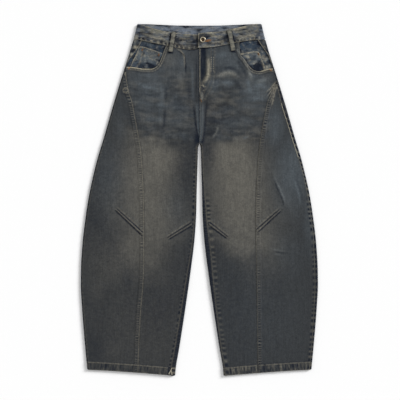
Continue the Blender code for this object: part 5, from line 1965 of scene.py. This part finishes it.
@dataclass
class FrontBand(ClothPiece):
    """One half of the waistband at the front. The left one laps over the right one under the button."""

    pitch: float = 3.6
    edge_step: float = 2.2
    CREASES: ClassVar[dict] = {
        Side.RIGHT: (
            Crease(((150, 16), (120, 24), (88, 32)), 9.0, 0.4, fade=0.5, worn=0.14),
            Crease(((176, 26), (140, 37), (96, 46)), 4.0, 0.3, worn=0.28),
            Crease(((172, 34), (134, 43), (92, 54)), 4.0, -0.3, deep=0.7),
            Crease(((66, 44), (50, 48), (34, 47)), 4.0, -0.3, deep=0.8),
            Crease(((36, 34), (24, 36), (12, 34)), 4.0, -0.3, deep=0.6),
            Crease(((64, 40), (40, 44), (20, 42)), 4.0, 0.3, worn=0.32),
            Crease(((66, 50), (44, 56), (16, 56)), 5.0, -0.3, deep=0.65),
            Crease(((60, 63), (36, 67), (10, 64)), 3.0, 0.3, worn=0.3),
        ),
        Side.LEFT: (
            Crease(((92, 19), (118, 12), (146, 6)), 3.4, 0.5, worn=0.95),
            Crease(((26, 32), (48, 38), (74, 35)), 4.0, 0.3, worn=0.34),
            Crease(((22, 39), (44, 46), (72, 43)), 4.0, -0.3, deep=0.75),
            Crease(((30, 57), (50, 54), (78, 50)), 4.0, 0.3, worn=0.34),
            Crease(((26, 63), (52, 61), (80, 57)), 3.0, -0.3, deep=0.6),
            Crease(((108, 25), (130, 28), (164, 22)), 4.0, -0.3, deep=0.65),
            Crease(((40, 30), (56, 28), (70, 26)), 3.4, -0.3, deep=0.7),
            Crease(((92, 30), (100, 40), (104, 52)), 3.4, -0.3, deep=0.6),
            Crease(((106, 35), (134, 38), (174, 31)), 4.0, 0.3, worn=0.36),
            Crease(((112, 46), (136, 46), (172, 40)), 4.0, -0.3, deep=0.45),
        ),
    }

    def end(self) -> float:
        """Where the band ends at the centre front."""
        return 4.0 - PATTERN.lap_reach if self.side is Side.RIGHT else -3.0

    def outline(self) -> Points:
        """Draws the cut of the band.

        Returns:
            Its corners, in order.
        """
        step = self.edge_step
        down = steps(0.6, 45.8, step)
        edge = pairs(PATTERN.outseam(down) - PATTERN.band_side_seam - PATTERN.seam_gap, down)
        across = steps(self.end(), float(edge[0, 0]), step)
        top = pairs(across, self.band(1, across))
        across = steps(float(edge[-1, 0]), self.end(), step)
        return spread_out(np.vstack((top, edge[1:-1], pairs(across, self.band(2, across)))), 0.5)

    def guide_lines(self) -> list:
        """Draws lines beside the two long edges.

        Returns:
            The lines.
        """
        across = steps(self.end() + 2, 186, self.edge_step)
        lines = [pairs(across, self.band(1, across) + distance) for distance in (1.8, 3.8, 6.0)]
        return lines + [pairs(across, self.band(2, across) - distance) for distance in (1.8, 3.8, 6.0, 8.4)]

    def base(self, points: Points, is_inner: bool) -> Points:
        """Lays the band on the back one, and the left one's end on the right one.

        Args:
            points: Pattern points.
            is_inner: Whether they are on the cloth's inner face.

        Returns:
            Across, down and height of each.
        """
        height = PATTERN.band_depth - (PATTERN.band_cloth if is_inner else 0.0)
        if self.side is Side.LEFT:
            lap = 1 - smooth_step((points[:, 0] - PATTERN.lap_reach) / PATTERN.lap_slope)
            height = height + PATTERN.lap_rise * lap
        return raised(points, height)

    def use(self, marks: Marks) -> None:
        """Wears the band's edges, and paints shade between its puckers, in its creases, beside its loop and
        round the button.

        Args:
            marks: The band's marks, which are changed.
        """
        side, across, down = self.side, marks.across, marks.down
        is_left = side is Side.LEFT
        patches = marks.noise(11, 61) * 0.6 + marks.noise(5, 62) * 0.4
        from_top, from_low = down - self.band(1, across), self.band(2, across) - down
        marks.fade = limit(0.4 + 0.7 * patches)
        marks.pale = limit(0.15 - 0.4 * patches)
        near_centre = smooth_step((90 - across) / 14 if is_left else (78 - across) / 10)
        shade = 0.28 + (0.26 if is_left else 0.7) * near_centre + 0.35 * patches
        marks.darken(smooth_step(from_top / 22) * shade)
        if not is_left:
            marks.darken(0.9 * smooth_step((20 - across) / 12))
        streaks = cloth_noise(across + down, down - 0.4 * across, 7, 64) * (across < 78)
        marks.darken(0.4 * limit(streaks))
        marks.wear(0.3 * limit(-streaks))
        marks.darken(0.7 * bell(across - 188, 10) * bell(from_top - 5, 12))
        marks.lift = 0.25 + 0.22 * marks.noise(20, 63)
        seed = 1.0 + side.value
        wear = SeamWearAndShade(width=4.0, edge=0.8, crest=0.3, trough=0.15, spacing=12.0, rise=0.15,
                        line=1.9, seed=seed)
        wear.press(marks, from_top, across)
        trough = 0.45 if is_left else 0.75
        wear = SeamWearAndShade(width=10.0, edge=0.5, crest=0.5, trough=trough, spacing=12.5, rise=0.5,
                        line=1.9, seed=seed + 0.5)
        wear.press(marks, from_low, across)
        # the creases' painted highlights and painted shade
        for crease in self.CREASES[side]:
            crease.press(marks)
        marks.worn *= 1 - 0.65 * bell(across - 14, 24) * smooth_step((from_top - 4) / 6)
        top_x, top_y, low_x, low_y = BeltLoop.PLACES[side]
        loop_x = top_x + (low_x - top_x) * (down - top_y) / (low_y - top_y)
        # painted shadow beside the raised belt loop
        marks.darken(1.1 * smooth_step((12.0 - np.abs(across - loop_x)) / 3.5))
        if is_left:
            # painted shade above the button
            marks.darken(0.95 * marks.spot(14, 37, 22, 12))
            marks.wear(0.5 * bell(across + 3.0, 1.6))
            # painted shadow round the button
            marks.darken(0.8 * marks.spot(WaistButton.across, WaistButton.down, 12, 12))
        else:
            # painted shadow beside the left band's lapping end
            marks.darken(0.8 * bell(across - 0.5, 2.2))


@dataclass
class BeltLoop:
    """A folded strip that arches over the waistband."""

    side: Side
    material: bpy.types.Material
    width: float = 12.0
    length: float = 62.0
    columns: int = 9
    step: float = 1.6
    # share of the length, height of the underside, thickness
    sections: tuple = (
        (0.00, 5.9, 2.6), (0.08, 6.4, 2.2), (0.25, 7.2, 1.8), (0.50, 7.6, 1.8), (0.70, 7.0, 1.8),
        (0.82, 6.2, 1.8), (0.90, 5.2, 2.2), (0.95, 4.8, 3.0), (1.00, 4.9, 2.8),
    )
    # across and down of the upper end, across and down of the folded lower end
    PLACES: ClassVar[dict] = {Side.RIGHT: (75.0, 23.5, 85.5, 82.0), Side.LEFT: (87.5, 17.5, 100.8, 78.5)}

    def build(self) -> None:
        half = self.width / 2
        shares = steps(0, 1, self.step / self.length)
        share, sideways = np.meshgrid(shares, np.linspace(-half, half, self.columns), indexing="ij")
        share, sideways = share.ravel(), sideways.ravel()
        top_x, top_y, low_x, low_y = self.PLACES[self.side]
        length = math.hypot(low_x - top_x, low_y - top_y)
        way_x, way_y = (low_x - top_x) / length, (low_y - top_y) / length
        across = top_x + share * length * way_x - sideways * way_y
        down = top_y + share * length * way_y + sideways * way_x
        low, thick = (ease(self.sections, column, share) for column in (1, 2))
        crown = 0.35 * (1 - (sideways / half) ** 2) + 0.12 * ripple(share * self.length, 9, 0.8)
        upper = np.column_stack((across, down, low + thick + crown))
        lower = np.column_stack((across, down, low))
        faces = [(first, first + 1, first + self.columns + 1, first + self.columns)
                 for row in range(len(shares) - 1)
                 for first in range(row * self.columns, (row + 1) * self.columns - 1)]
        marks = Marks(upper)
        marks.fade += 0.8
        wave = ripple(share * self.length, 8.5, 2.0)
        marks.wear(0.3 * bell(sideways, 5.6, 4) * (0.75 + 0.25 * wave))
        # painted shade on the loop's rolled sides
        marks.darken(0.4 * smooth_step((np.abs(sideways) - 4.8) / 1.4))
        # painted shadow at the loop's lower end
        marks.darken(0.5 * smooth_step((share - 0.94) / 0.05))
        name = f"belt_loop_front_{self.side.word}"
        vertices = to_world(self.side, np.concatenate((upper, lower)))
        shell = close_shell(faces, len(upper))
        piece = make_piece(f"{name}_cloth", vertices, shell, self.material, marks)
        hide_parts(name)


@dataclass
class WaistButton:
    """The hollow ring button, turned about its shank."""

    material: bpy.types.Material
    across: float = 10.1
    down: float = 47.3
    sides: int = 64
    # radius, height above the band, rubbed bright
    section: tuple = (
        (3.0, 0.0, 0.0), (3.0, 1.2, 0.0), (5.2, 1.25, 0.0), (7.6, 1.4, 0.0), (8.45, 1.8, 0.0),
        (8.72, 2.4, 0.0), (8.75, 3.1, 0.0), (8.5, 3.8, 0.15), (7.9, 4.35, 0.6), (7.2, 4.65, 1.0),
        (6.5, 4.7, 1.0),
        (5.7, 4.55, 0.8), (5.1, 4.2, 0.35), (4.6, 3.6, 0.1), (4.3, 2.9, 0.0), (3.9, 2.4, 0.0),
        (2.9, 2.25, 0.0), (1.6, 2.35, 0.05), (0.7, 2.6, 0.2),
    )

    def build(self) -> None:
        """Makes the button."""
        base = PATTERN.band_depth + PATTERN.lap_rise + PATTERN.seam_gap
        count, rings = self.sides, len(self.section)
        turn = np.tile(np.arange(count) * 2 * math.pi / count, rings)
        radius, height, bright = np.repeat(np.array(self.section), count, axis=0).T
        x, y = self.across + radius * np.cos(turn), self.down + radius * np.sin(turn)
        marks = Marks(np.column_stack((x, y, base + height)))
        marks.worn = bright
        faces = [tuple(range(first, first + count)) for first in (0, (rings - 1) * count)]
        faces += [(first + i, first + (i + 1) % count, first + count + (i + 1) % count, first + count + i)
                  for first in range(0, (rings - 1) * count, count) for i in range(count)]
        points = to_world(Side.LEFT, marks.placed)
        piece = make_piece("waist_button_metal", points, faces, self.material, marks)
        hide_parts("waist_button")


@dataclass
class Stitches:
    """All stitches of one thread, gathered row by row and made as one mesh."""

    name: str
    material: bpy.types.Material
    width: float = 0.9
    height: float = 0.5
    starts: list = field(default_factory=list)
    ends: list = field(default_factory=list)
    # share of a stitch's length, share of its width sideways, share of its height
    SHAPE: ClassVar[tuple] = (
        (0.0, 0, -0.6), (0.22, -0.45, 0.1), (0.22, 0, 0.75), (0.22, 0.45, 0.1), (0.22, 0, -0.5),
        (0.78, -0.45, 0.1), (0.78, 0, 0.75), (0.78, 0.45, 0.1), (0.78, 0, -0.5), (1.0, 0, -0.6),
    )
    FACES: ClassVar[tuple] = (
        (0, 1, 2), (0, 2, 3), (0, 3, 4), (0, 4, 1), (1, 5, 6, 2), (2, 6, 7, 3), (3, 7, 8, 4), (4, 8, 5, 1),
        (9, 6, 5), (9, 7, 6), (9, 8, 7), (9, 5, 8),
    )

    def add(self, side: Side, starts: Points, ends: Points) -> None:
        """Adds stitches between places on one half of the garment."""
        self.starts.append(to_world(side, starts))
        self.ends.append(to_world(side, ends))

    def row(self, piece: ClothPiece, line: Points, length: float = 3.0, gap: float = 0.9) -> None:
        """Sews a row of stitches along a line of a piece.

        Args:
            piece: The piece that carries them.
            line: The line in the pattern.
            length: Length of a stitch.
            gap: Distance between two stitches.
        """
        run = run_along(line)
        first = np.arange(0.5, run[-1] - length, length + gap)
        start, end = (
            pairs(*(np.interp(at, run, column) for column in line.T)) for at in (first, first + length)
        )
        self.add(piece.side, piece.lay(start), piece.lay(end))

    def tack(
        self, piece: ClothPiece, start: tuple, end: tuple, width: float = 2.4, spacing: float = 0.55
    ) -> None:
        """Sews a bar tack: close stitches across a short line.

        Args:
            piece: The piece that carries it.
            start: One end of the line in the pattern.
            end: The other end.
            width: Length of the stitches across the line.
            spacing: Distance between them.
        """
        start, end = np.array(start, dtype=float), np.array(end, dtype=float)
        length = np.linalg.norm(end - start)
        way = (end - start) / length
        middle = start + np.arange(0, length, spacing)[:, None] * way
        reach = np.array((-way[1], way[0])) * width / 2 + way * spacing * 0.4
        self.add(piece.side, *(piece.lay(middle + sign * reach) + (0, 0, 0.35) for sign in (1, -1)))

    def build(self) -> None:
        """Makes the mesh of all the stitches."""
        start, end = np.concatenate(self.starts), np.concatenate(self.ends)
        flat = (end - start) * (1, 1, 0)
        flat /= np.maximum(np.linalg.norm(flat, axis=1)[:, None], 1e-9)
        sideways = np.column_stack((-flat[:, 1], flat[:, 0], flat[:, 2])) * self.width * MM
        up = np.array((0, 0, self.height * MM))
        parts = [start + share * (end - start) + offside * sideways + rise * up
                 for share, offside, rise in self.SHAPE]
        faces = [tuple(first + corner for corner in face)
                 for first in range(0, len(start) * len(parts), len(parts)) for face in self.FACES]
        make_piece(self.name, np.stack(parts, axis=1).reshape(-1, 3), faces, self.material)


@dataclass
class Sewing:
    """Sews the finished pieces: which rows run where, and in which thread."""

    inner: dict
    outer: dict
    patch: dict
    band: dict
    threads: dict
    # distances of the rows from a seam, the pocket mouth, a patch's edge, the fly and the hem
    SEAM_ROWS: ClassVar[tuple] = (2.2, 8.6)
    MOUTH_ROWS: ClassVar[tuple] = (2.2, 7.4)
    PATCH_ROWS: ClassVar[tuple] = (1.9, 6.2)
    FLY_ROWS: ClassVar[tuple] = (-1.8, 4.8)
    HEM_ROW: ClassVar[float] = 21.5
    BAND_ROW: ClassVar[float] = 2.6
    # ends of the bar tacks on the patches: across and down
    TACKS: ClassVar[dict] = {
        Side.RIGHT: (((119, 88), (121, 95)), ((167, 73), (170, 80))),
        Side.LEFT: (((173, 86), (176, 92)),),
    }

    def sew_half(self, side: Side) -> None:
        """Sews the rows and tacks of one half.

        Args:
            side: The half of the garment.
        """
        tonal, tan, rust = (self.threads[thread] for thread in (Thread.TONAL, Thread.TAN, Thread.RUST))
        faded, cream = self.threads[Thread.FADED], self.threads[Thread.CREAM]
        inner, outer, patch = self.inner[side], self.outer[side], self.patch[side]
        top = PATTERN.seam_top(side)
        for distance in self.SEAM_ROWS:
            faded.row(outer, PATTERN.seam_line(side, "curved_seam", top + 24, 6) + (distance, 0))
        for distance in self.MOUTH_ROWS:
            tonal.row(inner, offset(PATTERN.mouth(side, 4), distance)[2:-2])
        bright = offset(PATTERN.mouth(side, 2), 1.2)
        cream.row(inner, bright[bright[:, 0] > (148 if side is Side.RIGHT else 184)][:-1], 3.4, 0.3)
        faded.row(inner, PATTERN.seam_line(side, "inseam", PATTERN.crotch + 14, 6) + (2.4, 0))
        faded.row(outer, PATTERN.seam_line(side, "side_seam", top + 30, 6) - (2.4, 0))
        if side is Side.LEFT:
            hairline = PATTERN.seam_line(side, "side_seam", 234, 6) - (1.0, 0)
            cream.row(outer, hairline[hairline[:, 1] < 400], 3.6, 0.2)
        else:
            for across in (0.0, 1.2):
                cream.row(inner, np.array(((90 + across, 1036), (79 + across, 1014))), 3.4, 0.2)
                cream.row(inner, np.array(((80 + across, 1037), (84 + across, 1022))), 3.4, 0.2)
        for distance in self.PATCH_ROWS:
            tonal.row(patch, offset(patch.edge_line(), distance)[2:-4])
        self.sew_hem(side, tonal)
        self.sew_band(side, tonal)
        for panel, piece in ((Panel.INNER, inner), (Panel.OUTER, outer)):
            faded.row(piece, PATTERN.dart_guides(side, panel, 4)[4][1:-1], 2.6, 1.0)
        for start, end in self.TACKS[side]:
            rust.tack(patch, start, end, 5.0)
        across, down = PATTERN.mouth_points[side][-1]
        tan.tack(inner, (across - 8, down + 1.5), (across - 3, down + 7))

    def sew_hem(self, side: Side, thread: Stitches) -> None:
        """Sews the hem's row on both panels of a half.

        Args:
            side: The half of the garment.
            thread: The stitches that the row is added to.
        """
        seam, end = float(PATTERN.curved_seam(side, LENGTH)), float(PATTERN.side_seam(side, PATTERN.hem_side))
        start = float(PATTERN.inseam(side, LENGTH))
        thread.row(self.inner[side], PATTERN.hem_edge(start + 2, seam - 2, 6, self.HEM_ROW))
        thread.row(self.outer[side], PATTERN.hem_edge(seam + 2, end - 2, 6, self.HEM_ROW))

    def sew_band(self, side: Side, thread: Stitches) -> None:
        """Sews the two long rows of a front band.

        Args:
            side: The half of the garment.
            thread: The stitches that they are added to.
        """
        across = steps(2 if side is Side.RIGHT else 0, 180, 6)
        thread.row(self.band[side], pairs(across, PATTERN.band_edge(side, 1, across) + self.BAND_ROW))
        thread.row(self.band[side], pairs(across, PATTERN.band_edge(side, 2, across) - self.BAND_ROW))

    def sew_fly(self) -> None:
        """Sews the fly's twin curve, its edge, the seam below it and the tack at its foot."""
        tonal, rust = self.threads[Thread.TONAL], self.threads[Thread.RUST]
        faded, cream = self.threads[Thread.FADED], self.threads[Thread.CREAM]
        inner, fly = self.inner[Side.LEFT], PATTERN.fly(4)
        for distance in self.FLY_ROWS:
            line = offset(fly, distance)
            faded.row(inner, line[(line[:, 1] > 73) & (line[:, 0] > 2)])
            cream.row(inner, line[(line[:, 1] > 96) & (line[:, 1] < 142)], 2.4, 4.2)
        tonal.row(inner, pairs(2.6, steps(74, 226, 6)))
        for across in (2.6, 8.4):
            tonal.row(inner, pairs(across, steps(232, PATTERN.crotch - 6, 6)))
        rust.tack(inner, (3.0, 222.0), (7.0, 231.0), 3.0)

    def sew_buttonhole(self) -> None:
        """Sews the thread round the buttonhole's slot, which shows beside the button."""
        tan, band = self.threads[Thread.TAN], self.band[Side.LEFT]
        tan.tack(band, (16.5, 49.2), (34.5, 46.6), 2.6, 0.75)
        tan.tack(band, (16.5, 52.4), (34.5, 49.8), 2.6, 0.75)


@dataclass(frozen=True)
class Studio:
    """A pale floor, soft light from the upper right and a camera straight above."""

    view_width: float = 1.1836
    centre: tuple = (0.0018, -0.0002)
    distance: float = 3.4
    sensor: float = 36.0
    floor_size: float = 8.0
    floor_drop: float = 0.0006
    floor_colour: Colour = (0.93, 0.93, 0.93)
    floor_roughness: float = 0.95
    floor_shine: float = 0.1
    floor_grain: float = 300.0
    floor_relief: float = 0.00005
    sun_strength: float = 3.6
    sun_angle: float = 20.0
    sun_height: float = 23.0
    sun_from: float = 32.0
    sky: float = 0.62

    def build(self) -> None:
        """Makes the floor, the light and the camera."""
        self.make_floor()
        self.make_light()
        self.make_camera()

    def make_floor(self) -> None:
        """Makes the plain pale floor."""
        half = self.floor_size / 2
        mesh = bpy.data.meshes.new("floor")
        corners = [(-half, -half), (half, -half), (half, half), (-half, half)]
        mesh.from_pydata([(x, y, -self.floor_drop) for x, y in corners], [], [(0, 1, 2, 3)])
        nodes = Nodes("floor_paper")
        nodes.finish({
            "Base Color": self.floor_colour,
            "Roughness": self.floor_roughness,
            "Specular IOR Level": self.floor_shine,
        })
        nodes.bump(nodes.noise((self.floor_grain,) * 3, 2.0), self.floor_relief)
        mesh.materials.append(nodes.material)
        floor = bpy.data.objects.new("floor", mesh)
        bpy.context.collection.objects.link(floor)

    def make_light(self) -> None:
        """Makes a soft sun from the upper right, and an even pale sky."""
        sun = bpy.data.lights.new("soft_sun", "SUN")
        sun.energy = self.sun_strength
        sun.angle = math.radians(self.sun_angle)
        lamp = bpy.data.objects.new("soft_sun", sun)
        lift, turn = math.radians(self.sun_height), math.radians(self.sun_from)
        toward = Vector((math.cos(lift) * math.cos(turn), math.cos(lift) * math.sin(turn), math.sin(lift)))
        lamp.rotation_euler = toward.to_track_quat("Z", "Y").to_euler()
        lamp.location = toward * 3
        bpy.context.collection.objects.link(lamp)
        world = bpy.data.worlds.new("pale_sky")
        world.use_nodes = True
        background = world.node_tree.nodes["Background"]
        background.inputs["Color"].default_value = (1.0, 1.0, 1.0, 1.0)
        background.inputs["Strength"].default_value = self.sky
        bpy.context.scene.world = world
        bpy.context.scene.view_settings.view_transform = "Standard"

    def make_camera(self) -> None:
        """Makes the camera straight above, so that the view is as wide as the photograph's."""
        data = bpy.data.cameras.new("camera")
        data.sensor_width = self.sensor
        data.lens = self.sensor * self.distance / self.view_width
        camera = bpy.data.objects.new("camera", data)
        camera.location = (*self.centre, self.distance)
        bpy.context.collection.objects.link(camera)
        bpy.context.scene.camera = camera


def main() -> None:
    """Builds the studio, the pieces of cloth, the button and the sewing, in that order."""
    logging.basicConfig(level=logging.INFO, format="%(name)s %(message)s")
    Studio().build()
    front = Denim("front_denim").material()
    outer_cloth = Denim("outer_denim").material()
    back_cloth = Denim("back_denim").material()
    band_cloth = Denim(
        "band_denim", body=tone(62, 68, 76), warm=tone(104, 103, 94), cool=tone(102, 110, 121),
        blotch=0.9, scuff=0.34, blotches=(34, 105), scuffs=(45, 150), along_band=True,
    ).material()
    facing_cloth = Denim(
        "facing_denim", body=tone(44, 56, 69), cool=tone(88, 95, 100), warm=tone(84, 83, 76),
        blotch=0.8, scuff=0.36, blotches=(52, 66), scuffs=(64, 105),
    ).material()
    outer, inner, patch, band = {}, {}, {}, {}
    for side in Side:
        word = side.word
        BackPanel(side, back_cloth, node=f"back_panel_{word}", slot="back_denim").build()
        under = (f"back_panel_{word}_cloth",)
        facing = PocketFacing(
            side, facing_cloth, node=f"pocket_facing_{word}", slot="facing_denim", rests_on=under,
        )
        facing.build()
        name = "coin_pocket_right" if side is Side.RIGHT else "small_pocket_left"
        on_facing = (f"pocket_facing_{word}_cloth",)
        patch[side] = PocketPatch(side, facing_cloth, node=name, slot="facing_denim", rests_on=on_facing)
        inner[side] = FrontInner(side, front, node=f"front_inner_{word}", rests_on=under)
        outer[side] = FrontOuter(
            side, outer_cloth, node=f"front_outer_{word}", slot="outer_denim", rests_on=under,
        )
        band[side] = FrontBand(
            side, band_cloth, node=f"waistband_front_{word}", slot="band_denim",
            rests_on=("waistband_back_cloth",),
        )
        for piece in (patch[side], inner[side], outer[side], band[side]):
            piece.build()
        BeltLoop(side, band_cloth).build()
    BackBand(Side.LEFT, band_cloth, node="waistband_back", slot="band_denim").build()
    WaistButton(Brass("button_metal").material()).build()
    cottons = {
        Thread.TONAL: Cotton("tonal_thread", tone(104, 101, 90), tone(60, 61, 60)),
        Thread.FADED: Cotton("faded_thread", tone(84, 84, 78), tone(54, 56, 57)),
        Thread.CREAM: Cotton("cream_thread", tone(206, 199, 178), tone(150, 142, 122)),
        Thread.TAN: Cotton("tan_thread", tone(176, 122, 70), tone(110, 84, 60)),
        Thread.RUST: Cotton("rust_thread", tone(120, 86, 58), tone(66, 56, 48)),
    }
    threads = {thread: Stitches(f"stitches_{thread.value}", cotton.material())
               for thread, cotton in cottons.items()}
    threads[Thread.CREAM].width = 1.5
    sewing = Sewing(inner, outer, patch, band, threads)
    for side in Side:
        sewing.sew_half(side)
    sewing.sew_fly()
    sewing.sew_buttonhole()
    for stitches in threads.values():
        stitches.build()


if __name__ == "__main__":
    main()
